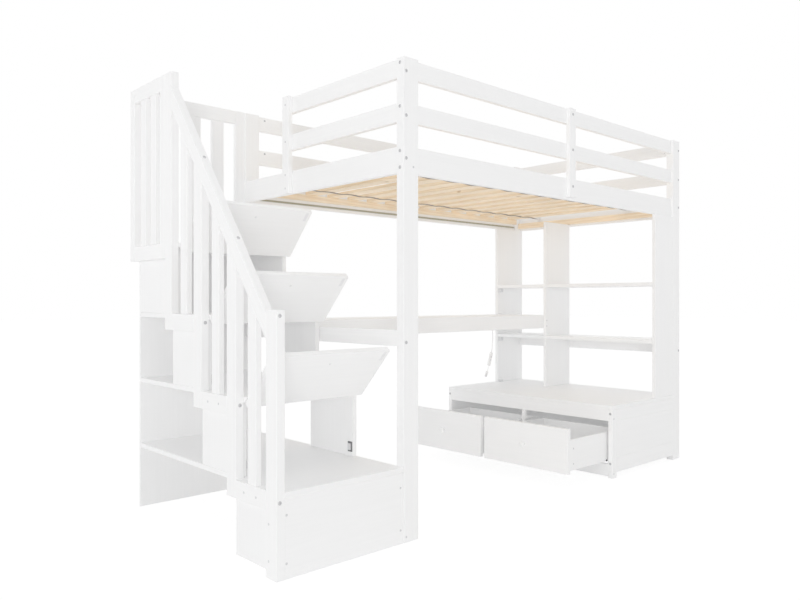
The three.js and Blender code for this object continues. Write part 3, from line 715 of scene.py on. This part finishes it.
for joint in frame["joints"]:
    if joint["type"] != "hinge":
        continue
    flap = joint["child"]
    axis_place = Vector(joint["pos_m"])
    moving = [
        slab(flap_outline, Y, 0, FLAP_THICKNESS, X),
        turned(FLAP_KNOB, (0, 0, knob_height), "front", Z),
        turned(SCREW_CAP, (0, FLAP_THICKNESS, knob_height), "back", OWN_2, 18),
    ]
    for left in (-half + PLATE_FROM_SIDE, half - PLATE_FROM_SIDE - PLATE_SIZE[0]):
        right = left + PLATE_SIZE[0]
        moving.append(board((left, *plate_low), (right, *plate_high), OWN_2, SMALL_EDGE))
    for start in hinge_starts:
        moving.append(board(
            (start, LEAF_REACH[0], -LEAF_THICKNESS / 3),
            (start + HINGE_LENGTH, LEAF_REACH[1], LEAF_THICKNESS * 2 / 3), OWN, THIN_EDGE,
        ))
        knuckle = HINGE_LENGTH / KNUCKLES
        for i in range(KNUCKLES):
            moving.append(barrel((start + knuckle * i, 0, 0), knuckle - KNUCKLE_GAP))
    opened = Matrix.Translation(axis_place) @ Matrix.Rotation(math.radians(-FLAP_OPEN), 4, "X")
    for mesh in moving:
        mesh.transform(opened)
    assemble(f"{flap}_board", moving, [f"step_{flap}"], flap, [zinc, plate_pale])

    under = axis_place.z + AXIS_DROP
    fixed = []
    for start in hinge_starts:
        left, right = axis_place.x + start, axis_place.x + start + HINGE_LENGTH
        fixed.append(board(
            (left, axis_place.y + LEAF_REACH[0] / 2, under - LEAF_THICKNESS),
            (right, axis_place.y + LEAF_REACH[1], under - LEAF_GAP), OWN, THIN_EDGE,
        ))
        fixed.append(board(
            (left, axis_place.y + LEAF_BEND[0], axis_place.z + LEAF_BEND_FOOT),
            (right, axis_place.y + LEAF_BEND[1], under - LEAF_GAP), OWN, THIN_EDGE,
        ))
    assemble(f"{flap}_hinge_leaves", fixed, extra=[zinc])
    front = axis_place.y + WALL_SETBACK - PANEL_SETBACK + CATCH_SETBACK
    foot = axis_place.z - CATCH_DROP
    catches = []
    for wall, way in ((stair_low.x + CASE_WALL, 1), (stair_high.x - RIGHT_INSET - CASE_WALL, -1)):
        for size, lift, finish in ((CATCH_PLATE, 0, OWN), (CATCH_BLOCK, CATCH_PLATE[0], OWN_2)):
            left, right = sorted((wall + way * lift, wall + way * (lift + size[0])))
            inset = [(CATCH_PLATE[i] - size[i]) / 2 for i in (1, 2)]
            catches.append(board(
                (left, front + inset[0], foot + inset[1]),
                (right, front + inset[0] + size[1], foot + inset[1] + size[2]), finish, FINE_EDGE,
            ))
    assemble(f"{flap}_catches", catches, extra=[catch_dark, pale_steel])

# Stair guard
# A newel and three posts, each on a short base rail, carry a sloped handrail
# that three upright slats are let into. Painted wood, bolted together.
GUARD_SLAT = 0.020
GUARD_SLATS = [(0.116, 0.166), (0.348, 0.399), (0.578, 0.629)]
GUARD_POSTS = (0.059, 0.058, 0.054)
HANDRAIL_SLOPE = 1.2915
HANDRAIL_DEPTH = 0.0825
sloped_paint = painted_wood("white_paint_slope", Y, math.degrees(math.atan(HANDRAIL_SLOPE)))
newel_low, newel_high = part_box("stair_newel_post")
stair_front = newel_low.y
handrail_low, handrail_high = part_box("stair_handrail")


def handrail_under(y):
    """The height of the handrail's underside."""
    return handrail_high.z - HANDRAIL_DEPTH - HANDRAIL_SLOPE * (handrail_high.y - y)


def sloped_board(front, back, foot, head, left, right, finish):
    """A board whose foot or head follows the handrail's slope, each a pair."""
    outline = [(front, foot[0]), (back, foot[1]), (back, head[1]), (front, head[0])]
    return slab(outline, X, left, right, finish)


assemble("stair_newel_wood", [board(newel_low, newel_high)], ["stair_newel_post"])
for number, width in enumerate(GUARD_POSTS, 1):
    node = f"stair_guard_post_{number}"
    low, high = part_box(node)
    front = high.y - width
    head = [handrail_under(y) - SEAM for y in (front, high.y)]
    if number == len(GUARD_POSTS):
        head = [high.z, high.z]
    assemble(f"{node}_wood", [
        sloped_board(front, high.y, (low.z, low.z), head, low.x, high.x, Z),
        board(low, (high.x, front - SEAM, RISER * number), Y),
    ], [node])

left, right = handrail_low.x, handrail_high.x
foot = [handrail_under(y) for y in (handrail_low.y, handrail_high.y)]
head = [z + HANDRAIL_DEPTH for z in foot]
boards = [sloped_board(handrail_low.y, handrail_high.y, foot, head, left, right, OWN)]
for level, places in enumerate(GUARD_SLATS, 1):
    front, back = (y + stair_front for y in places)
    foot = RISER * level + SEAM
    head = [handrail_under(y) - SEAM for y in (front, back)]
    boards.append(sloped_board(
        front, back, (foot, foot), head, left + SEAM, left + GUARD_SLAT, Z,
    ))
assemble("stair_handrail_wood", boards, ["stair_handrail"], extra=[sloped_paint])

# Landing guards
# Two frames of posts and rails with upright slats, one on the left of the
# landing and one behind it. Painted wood.
GUARD_RAIL = 0.057
SIDE_POSTS = (0.0427, 0.040)
SIDE_SLATS = [(0.836, 0.884), (0.926, 0.974)]
BACK_POST = 0.046
BACK_SLAT = 0.056
BACK_SLATS = (0.106, 0.217, 0.328)
BACK_SLAT_INSET = 0.001
low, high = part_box("landing_guard_left")
front, back = low.y + SIDE_POSTS[0], high.y - SIDE_POSTS[1]
boards = [
    board(low, (high.x, front, high.z)),
    board((low.x, back, low.z), high),
    board((low.x, front + SEAM, low.z), (high.x, back - SEAM, low.z + GUARD_RAIL), Y),
    board((low.x, front + SEAM, high.z - GUARD_RAIL), (high.x, back - SEAM, high.z), Y),
]
foot, head = low.z + GUARD_RAIL + SEAM, high.z - GUARD_RAIL - SEAM
for front, back in SIDE_SLATS:
    boards.append(board(
        (low.x + SEAM, front + stair_front, foot), (low.x + GUARD_SLAT, back + stair_front, head),
    ))
assemble("landing_guard_left_wood", boards, ["landing_guard_left"])

low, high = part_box("landing_guard_back")
left, right = low.x + BACK_POST, high.x - BACK_POST
boards = [
    board(low, (left, high.y, high.z)),
    board((right, low.y, low.z), high, Z, FINE_EDGE),
    board((left + SEAM, low.y, low.z), (right - SEAM, high.y, low.z + GUARD_RAIL), X),
    board((left + SEAM, low.y, high.z - GUARD_RAIL), (right - SEAM, high.y, high.z), X),
]
foot, head = low.z + GUARD_RAIL + SEAM, high.z - GUARD_RAIL - SEAM
for start in BACK_SLATS:
    left = low.x + start
    boards.append(board(
        (left, low.y + BACK_SLAT_INSET, foot), (left + BACK_SLAT, high.y - BACK_SLAT_INSET, head),
    ))
assemble("landing_guard_back_wood", boards, ["landing_guard_back"])

# Desk
# A painted board that lies on the left stretcher and on a cross rail, with a
# deep apron along its front. The lead's clip is under it.
CLIP_SIZE = 0.012
ROUND_EDGE = 0.002
for node in ("desk_apron", "desk_cross_rail"):
    assemble(f"{node}_wood", [board(*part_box(node))], [node])
low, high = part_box("desk_board")
clip_middle = LEAD_PLACES[0][0]
clip_corner = (clip_middle + CLIP_SIZE / 2, LEAD_Y + CLIP_SIZE / 2, low.z + CLIP_SIZE - SEAM)
assemble("desk_board_wood", [
    board((low.x, low.y, low.z + CLIP_SIZE), high, X),
    board((clip_middle - CLIP_SIZE / 2, low.y, low.z), clip_corner, OWN, ROUND_EDGE),
], ["desk_board"], extra=[lead_white])

# Bookcase
# Two shelves and a partition that are halved into each other, between a side
# board at the front and one at the back, with small brackets under the shelves.
HALVING = 1.130
BRACKET_SIZE = (0.030, 0.016, 0.024)
BRACKET_FROM_EDGE = 0.008
post_low, post_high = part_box("bed_post_front_right")
part_low, part_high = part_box("bookcase_partition")
side_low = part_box("bookcase_side_back")[0]
slot_front, slot_back = part_low.y - SEAM, part_high.y + SEAM
bracket_grey = grained("bracket_grey", (0.76, 0.76, 0.77), (0.71, 0.71, 0.72), 0.5)
for node in ("bookcase_side_front", "bookcase_side_back"):
    assemble(f"{node}_wood", [board(*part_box(node))], [node])

bracket_heads = [part_low.z + BRACKET_SIZE[2] / 2]
slots = []
for node in ("bookcase_shelf_upper", "bookcase_shelf_lower"):
    low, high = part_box(node)
    right = min(high.x, part_high.x + SEAM)
    outline = [
        (low.x, low.y), (post_low.x - SEAM, low.y), (post_low.x - SEAM, post_high.y + SEAM),
        (right, post_high.y + SEAM), (right, slot_front), (HALVING, slot_front),
        (HALVING, slot_back), (right, slot_back), (right, high.y), (low.x, high.y),
    ]
    boards = [slab(outline, Z, low.z, high.z, Y)]
    if high.x > right + SEAM:
        boards.append(board((right + SEAM, post_high.y + SEAM, low.z), high, Y))
    assemble(f"{node}_wood", boards, [node])
    slots += [
        (part_low.x, high.z + SEAM), (HALVING + SEAM, high.z + SEAM),
        (HALVING + SEAM, low.z - SEAM), (part_low.x, low.z - SEAM),
    ]
    bracket_heads.append(low.z - SEAM)
outline = [
    (part_low.x, part_low.z), (part_high.x, part_low.z),
    (part_high.x, part_high.z), (part_low.x, part_high.z), *slots,
]
partition = slab(outline, Y, part_low.y, part_high.y, Z)
assemble("bookcase_partition_wood", [partition], ["bookcase_partition"])
brackets = []
for head in bracket_heads:
    left, face = side_low.x + BRACKET_FROM_EDGE, side_low.y - SEAM
    foot = max(head - BRACKET_SIZE[2], part_low.z)
    brackets.append(board(
        (left, face - BRACKET_SIZE[1], foot), (left + BRACKET_SIZE[0], face, head),
        OWN, ROUND_EDGE,
    ))
assemble("shelf_brackets", brackets, extra=[bracket_grey])

# Bench
# A low box of painted boards: the top, a front frame with a divider between
# the drawers, two side walls of three glued boards with runners for the
# drawers, and a back panel.
BENCH_POST = (0.040, 0.022)
BENCH_BOARD = 0.018
TOP_RAIL_FOOT = 0.271
KICK_RAIL = (0.008, 0.066)
DIVIDER = (-0.024, -0.005)
RUNNER = (0.0597, 0.0777)
SIDE_JOINTS = (0.098, 0.272)
RUNNER_WIDTH = 0.030
RUNNER_START = 0.0203
RUNNER_END = 1.190
top_low, top_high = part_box("bench_top")
frame_low, frame_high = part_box("bench_front_frame")
back_post_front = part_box("bed_post_back_right")[0].y
outline = [
    (top_low.x, top_low.y), (post_low.x - SEAM, top_low.y),
    (post_low.x - SEAM, post_high.y + SEAM), (top_high.x, post_high.y + SEAM),
    (top_high.x, back_post_front - SEAM), (post_low.x - SEAM, back_post_front - SEAM),
    (post_low.x - SEAM, top_high.y), (top_low.x, top_high.y),
]
assemble("bench_top_wood", [slab(outline, Z, top_low.z, top_high.z, Y)], ["bench_top"])

left, head = frame_low.x, frame_high.z
inner = (frame_low.y + BENCH_POST[1], frame_high.y - BENCH_POST[1])
face = left + BENCH_BOARD
middle_runner = (DIVIDER[0] - RUNNER_WIDTH, DIVIDER[1] + RUNNER_WIDTH)
runner_corner = (frame_high.x, middle_runner[1], RUNNER[1])
assemble("bench_front_frame_wood", [
    board(frame_low, (left + BENCH_POST[0], inner[0], head)),
    board((left, inner[1], 0), (left + BENCH_POST[0], frame_high.y, head)),
    board((left, inner[0] + SEAM, TOP_RAIL_FOOT), (face, inner[1] - SEAM, head), Y),
    board((left, inner[0] + SEAM, KICK_RAIL[0]), (face, inner[1] - SEAM, KICK_RAIL[1]), Y),
    board((left, DIVIDER[0], KICK_RAIL[1] + SEAM), (face, DIVIDER[1], TOP_RAIL_FOOT - SEAM), Z),
    board((left + RUNNER_START, middle_runner[0], RUNNER[0]), runner_corner, X),
], ["bench_front_frame"])

for node, way in (("bench_side_front", 1), ("bench_side_back", -1)):
    low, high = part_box(node)
    outer = low.y if way > 0 else high.y
    wall = sorted((outer, outer + way * BENCH_BOARD))
    runner = sorted(outer + way * (BENCH_BOARD + reach) for reach in (SEAM, RUNNER_WIDTH))
    feet = (low.z, *(z + SEAM / 2 for z in SIDE_JOINTS))
    heads = (*(z - SEAM / 2 for z in SIDE_JOINTS), high.z)
    boards = [
        board((low.x, wall[0], foot), (high.x, wall[1], head), X, FINE_EDGE)
        for foot, head in zip(feet, heads)
    ]
    boards.append(board((low.x, runner[0], RUNNER[0]), (RUNNER_END, runner[1], RUNNER[1]), X))
    assemble(f"{node}_wood", boards, [node])
assemble("bench_back_wood", [board(*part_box("bench_back_panel"))], ["bench_back_panel"])

# Drawers
# Two painted drawers, drawn out. Each is an open box of thin boards behind a
# thicker front with a turned wooden knob, and has a black glide on each side.
DRAWER_WALL = 0.012
WALL_EDGE = 0.001
DRAWER_FLOOR = 0.006
FLOOR_LIFT = 0.004
DRAWER_KNOB_HEIGHT = 0.170
DRAWER_FRONT = 0.020
DRAWER_KNOB = [
    (0, -0.001), (0.006, -0.001), (0.006, 0.006), (0.0085, 0.0085), (0.0122, 0.0110),
    (0.0138, 0.0150), (0.0126, 0.0195), (0.0080, 0.0230), (0, 0.0238),
]
GLIDE = [(0, -0.001), (0.0042, -0.001), (0.0042, 0.0030), (0.0034, 0.0038), (0, 0.0038)]
GLIDE_PLACE = (0.604, 0.0822)
glide_black = grained("glide_black", (0.03, 0.03, 0.032), (0.02, 0.02, 0.022), 0.45)
for number in (1, 2):
    node = f"drawer_front_{number}"
    low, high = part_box(node)
    face = high.x - DRAWER_FRONT
    knob_place = (face, (low.y + high.y) / 2, DRAWER_KNOB_HEIGHT)
    assemble(f"{node}_wood", [
        board((face, low.y, low.z), high, Y),
        turned(DRAWER_KNOB, knob_place, "left", Z),
    ], [node], f"drawer_{number}")

    node = f"drawer_box_{number}"
    low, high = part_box(node)
    ends = (low.x + DRAWER_WALL, high.x - DRAWER_WALL)
    sides = (low.y + DRAWER_WALL, high.y - DRAWER_WALL)
    floor_z = low.z + FLOOR_LIFT
    boards = [
        board(low, (high.x, sides[0], high.z), X, WALL_EDGE),
        board((low.x, sides[1], low.z), high, X, WALL_EDGE),
    ]
    for left, right in ((low.x, ends[0]), (ends[1], high.x)):
        boards.append(board(
            (left, sides[0] + SEAM, low.z), (right, sides[1] - SEAM, high.z), Y, WALL_EDGE,
        ))
    boards.append(board(
        (ends[0] + SEAM, sides[0] + SEAM, floor_z),
        (ends[1] - SEAM, sides[1] - SEAM, floor_z + DRAWER_FLOOR), X, FINE_EDGE,
    ))
    for y, facing in ((low.y, "front"), (high.y, "back")):
        boards.append(turned(GLIDE, (GLIDE_PLACE[0], y, GLIDE_PLACE[1]), facing, OWN, 18))
    assemble(f"{node}_wood", boards, [node], f"drawer_{number}", [glide_black])

# Bolts and screws
# Zinc-plated bolts with a hexagon socket hold rails and posts, screws hold the
# smaller boards, and cross dowels show on the guard rails' inner faces.
BOLT = [
    (0.0062, 0.0), (0.0062, 0.0009), (0.0050, 0.0018), (0.0027, 0.0019), (0.0026, 0.0002),
]
SCREW = [(0.0042, 0.0), (0.0041, 0.0004), (0.0036, 0.0006), (0.0022, 0.0006), (0.0012, 0.0001)]
DOWEL = [(0.0050, 0.0), (0.0049, 0.0005), (0.0044, 0.0007), (0.0030, 0.0007), (0.0028, 0.0001)]
HEAD_STEPS = 24
HEADS = {"bolt": (BOLT, "hexagon"), "screw": (SCREW, "cross"), "dowel": (DOWEL, "slot")}
CROSS_WAIST = 0.35
SLOT_HALF = 0.0006
SIDES = {"left": (X, 0), "right": (X, 1), "front": (Y, 0), "back": (Y, 1)}
DOWEL_FROM_END = 0.034
LONG_GUARD_DROPS = (0.014, 0.013)
SIDE_RAIL_DROP = 0.016
SIDE_RAIL_LIFT = 0.020
END_GUARD_LIFT = 0.020
END_RAIL_LIFT = 0.004
STRETCHER_LIFT = 0.015
NEWEL_BOLTS = (0.011, (0.798, 0.236))
STEP_INSETS = (0.007, 0.0137)
STEP_HEIGHTS = (0.195, 0.048)
GUARD_BOLT_INSET = 0.015
GUARD_BOLTS = [(0.238, 0.504), (0.471, 0.767)]
HANDRAIL_BOLTS = (0.248, 0.477)
DRAWER_SCREWS = (1.080, (0.176, 0.107))
# Each row: kind, node, side, and heights on the node's middle, or pairs of a
# distance and a height. Distances are from the bed's front left corner.
ON_MIDDLE = [
    ("bolt", "guard_upright_front", "front", (1.665, 1.508, 1.347)),
    ("screw", "guard_upright_left", "left", (1.659, 1.505, 1.367, 1.311)),
]
FROM_CORNER = [
    ("screw", "bed_post_front_left", "front", [(0.046, 1.313), (0.012, 0.020)]),
    ("screw", "stair_newel_post", "left", [(0.044, 0.166), (0.044, 0.053)]),
    ("screw", "stair_guard_post_1", "left", [(0.188, 0.234), (0.116, 0.232)]),
    ("screw", "stair_guard_post_2", "left", [(0.424, 0.499), (0.351, 0.499)]),
    ("screw", "bookcase_partition", "front", [(1.769, 0.729), (1.769, 0.697)]),
    ("bolt", "bench_front_frame", "left", [
        (0.011, 0.306), (0.011, 0.069), (1.052, 0.306), (1.052, 0.069),
    ]),
    ("screw", "bench_front_frame", "front", [(1.364, 0.282), (1.364, 0.021)]),
]


def socket_reach(shape, radius, angle):
    """How far a driver's socket reaches from its middle at an angle."""
    if shape == "hexagon":
        part = math.pi / 3
        return radius * math.cos(part / 2) / math.cos(angle % part - part / 2)
    if shape == "cross":
        return radius * (CROSS_WAIST + (1 - CROSS_WAIST) * abs(math.cos(2 * angle)) ** 4)
    return min(radius, SLOT_HALF / max(abs(math.sin(angle)), 0.01))


def head_mesh(profile, shape):
    """A fastener's head with a sunk socket. The last two rings are the socket."""
    bm = bmesh.new()
    rings = []
    for number, (radius, height) in enumerate(profile):
        ring = []
        for i in range(HEAD_STEPS):
            angle = 2 * math.pi * i / HEAD_STEPS
            reach = radius
            if number >= len(profile) - 2:
                reach = socket_reach(shape, radius, angle)
            ring.append(bm.verts.new((reach * math.cos(angle), reach * math.sin(angle), height)))
        rings.append(ring)
    skin(bm, rings)
    return mesh_from("head", bm)


fasteners = {}


def fasten(kind, node, side, places, body="bed_frame", inset=0.0):
    """Sets fasteners on one side of a node, at pairs of the two other coordinates."""
    axis, end = SIDES[side]
    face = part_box(node)[end][axis] + inset
    for pair in places:
        item = (point(axis, face, pair), FACING[side])
        fasteners.setdefault((kind, body), []).append(item)


def middle_of(node, axis):
    """The middle of a node along an axis."""
    low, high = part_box(node)
    return (low[axis] + high[axis]) / 2


for side, inner_side in (("front", "back"), ("back", "front")):
    y = middle_of(f"guard_rail_upper_{side}", Y)
    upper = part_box(f"guard_rail_upper_{side}")[1].z - LONG_GUARD_DROPS[0]
    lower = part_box(f"guard_rail_lower_{side}")[1].z - LONG_GUARD_DROPS[1]
    rail_low, rail_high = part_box(f"side_rail_{side}")
    heights = (upper, lower, rail_high.z - SIDE_RAIL_DROP, rail_low.z + SIDE_RAIL_LIFT)
    for end in ("left", "right"):
        fasten("bolt", f"bed_post_{side}_{end}", end, [(y, z) for z in heights])
    ends = (rail_low.x + DOWEL_FROM_END, rail_high.x - DOWEL_FROM_END)
    for level, z in (("upper", upper), ("lower", lower)):
        fasten("dowel", f"guard_rail_{level}_{side}", inner_side, [(x, z) for x in ends])
for end, inner_side in (("left", "right"), ("right", "left")):
    x = middle_of(f"side_rail_{end}", X)
    guards = [
        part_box(f"guard_rail_{level}_{end}")[0].z + END_GUARD_LIFT for level in ("upper", "lower")
    ]
    rails = [
        middle_of(f"side_rail_{end}", Z) + END_RAIL_LIFT,
        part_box(f"stretcher_{end}")[0].z + STRETCHER_LIFT,
    ]
    for side in ("front", "back"):
        heights = rails if (side, end) == ("back", "left") else guards + rails
        fasten("bolt", f"bed_post_{side}_{end}", side, [(x, z) for z in heights])
    for level, z in zip(("upper", "lower"), guards):
        node = f"guard_rail_{level}_{end}"
        low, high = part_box(node)
        ys = [low.y + DOWEL_FROM_END] + ([high.y - DOWEL_FROM_END] if end == "right" else [])
        fasten("dowel", node, inner_side, [(y, z) for y in ys])

left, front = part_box("bed_post_front_left")[0].xy
for kind, node, side, heights in ON_MIDDLE:
    middle = middle_of(node, Y if side == "left" else X)
    fasten(kind, node, side, [(middle, z) for z in heights])
for kind, node, side, places in FROM_CORNER:
    start = front if side == "left" else left
    fasten(kind, node, side, [(start + distance, z) for distance, z in places])
inset, heights = NEWEL_BOLTS
fasten("bolt", "stair_newel_post", "front", [(newel_low.x + inset, z) for z in heights])
step_places = [
    (x, z) for x in (stair_low.x + STEP_INSETS[0], stair_high.x - STEP_INSETS[1])
    for z in STEP_HEIGHTS
]
fasten("screw", "step_case_1", "front", step_places, inset=PANEL_SETBACK)
distance, heights = DRAWER_SCREWS
for number in (1, 2):
    for side in ("front", "back"):
        places = [(left + distance, z) for z in heights]
        fasten("screw", f"drawer_box_{number}", side, places, f"drawer_{number}")

x = newel_low.x + GUARD_BOLT_INSET
bed_bolts = fasteners[("bolt", "bed_frame")]
for distance, z in GUARD_BOLTS:
    bed_bolts.append((Vector((x, front + distance, z)), FACING["front"]))
for distance in HANDRAIL_BOLTS:
    y = front + distance
    place = Vector((x, y, handrail_under(y) + HANDRAIL_DEPTH))
    bed_bolts.append((place, (math.atan(HANDRAIL_SLOPE), 0, 0)))

scattered_copies = copies_tree("scattered_copies", False)
for (kind, body), places in fasteners.items():
    points = bpy.data.meshes.new(f"{kind}_points")
    points.from_pydata([place for place, facing in places], [], [])
    turns = points.attributes.new("facing", "FLOAT_VECTOR", "POINT")
    for turn, (place, facing) in zip(turns.data, places):
        turn.vector = facing
    heads = make_copies(
        f"{body}_{kind}s", scattered_copies, head_mesh(*HEADS[kind]), points,
        Finish=pale_steel if kind == "screw" else zinc,
    )
    settle(heads, "white_paint", body=body)

# Floor, light and background
# A pale floor that keeps the object's faint shadow, an even white surround,
# a soft lamp far behind the camera, and weak fills that cast no shadow.
FLOOR_SIZE = 60.0
FLOOR_TONE = 0.92
SHADOW_SHARE = 0.14
FLOOR_GLOW = 0.90
SURROUND = 0.56
LAMP_PLACE = (-6.5, -6.8, 1.3)
LAMP_SIZE = 2.4
LAMP_POWER = 138.0
FILL_SPREAD = 1.2
FILLS = [
    ("left_fill", (1, 0, 0), 0.59), ("front_fill", (0, 1, 0), 0.33),
    ("right_fill", (-1, 0, 0), 0.60), ("back_fill", (0, -1, 0), 0.60),
    ("top_fill", (0, 0, -1), 0.50), ("floor_fill", (0, 0, 1), 0.65),
]


def background_rays(tree):
    """One where the camera, a reflection or a clear material looks, else nought."""
    rays = add_node(tree, "ShaderNodeLightPath").outputs
    share = rays["Is Camera Ray"]
    for other in ("Is Glossy Ray", "Is Transmission Ray"):
        share = reckon(tree, "MAXIMUM", share, rays[other])
    return share


floor_pale, tree, shader = new_material("floor_pale")
tree.nodes.remove(shader)
matt, shadow = (
    add_node(tree, "ShaderNodeBsdfDiffuse", {"Color": (tone, tone, tone, 1)})
    for tone in (FLOOR_TONE, SHADOW_SHARE)
)
glow = add_node(tree, "ShaderNodeEmission", {"Strength": FLOOR_GLOW})
seen = add_node(tree, "ShaderNodeAddShader", {0: glow, 1: shadow})
choose = add_node(tree, "ShaderNodeMixShader", {0: background_rays(tree), 1: matt, 2: seen})
feed(tree.nodes["Material Output"], {"Surface": choose})
bm = bmesh.new()
bmesh.ops.create_grid(bm, x_segments=1, y_segments=1, size=FLOOR_SIZE / 2)
object_from("floor", bm, [floor_pale])

world = bpy.data.worlds.new("surround")
world.use_nodes = True
bpy.context.scene.world = world
tree = world.node_tree
tree.nodes.clear()
even, white = (
    add_node(tree, "ShaderNodeBackground", {"Color": (1, 1, 1, 1), "Strength": strength})
    for strength in (SURROUND, 1.0)
)
choose = add_node(tree, "ShaderNodeMixShader", {0: background_rays(tree), 1: even, 2: white})
add_node(tree, "ShaderNodeOutputWorld", {"Surface": choose})


def light_up(name, data, place, way):
    """A light at a place, which shines a given way."""
    lamp = add_object(name, data)
    lamp.location = place
    lamp.rotation_euler = way.to_track_quat("-Z", "Y").to_euler()


aim = (Vector(cad_box[0]) + Vector(cad_box[1])) / 2
softbox = bpy.data.lights.new("softbox", "AREA")
softbox.shape = "SQUARE"
softbox.size = LAMP_SIZE
softbox.energy = LAMP_POWER
light_up("softbox", softbox, LAMP_PLACE, aim - Vector(LAMP_PLACE))
for name, way, strength in FILLS:
    fill = bpy.data.lights.new(name, "SUN")
    fill.energy = strength
    fill.angle = FILL_SPREAD
    fill.use_shadow = False
    light_up(name, fill, aim, Vector(way))

bpy.context.scene.view_settings.view_transform = "Standard"
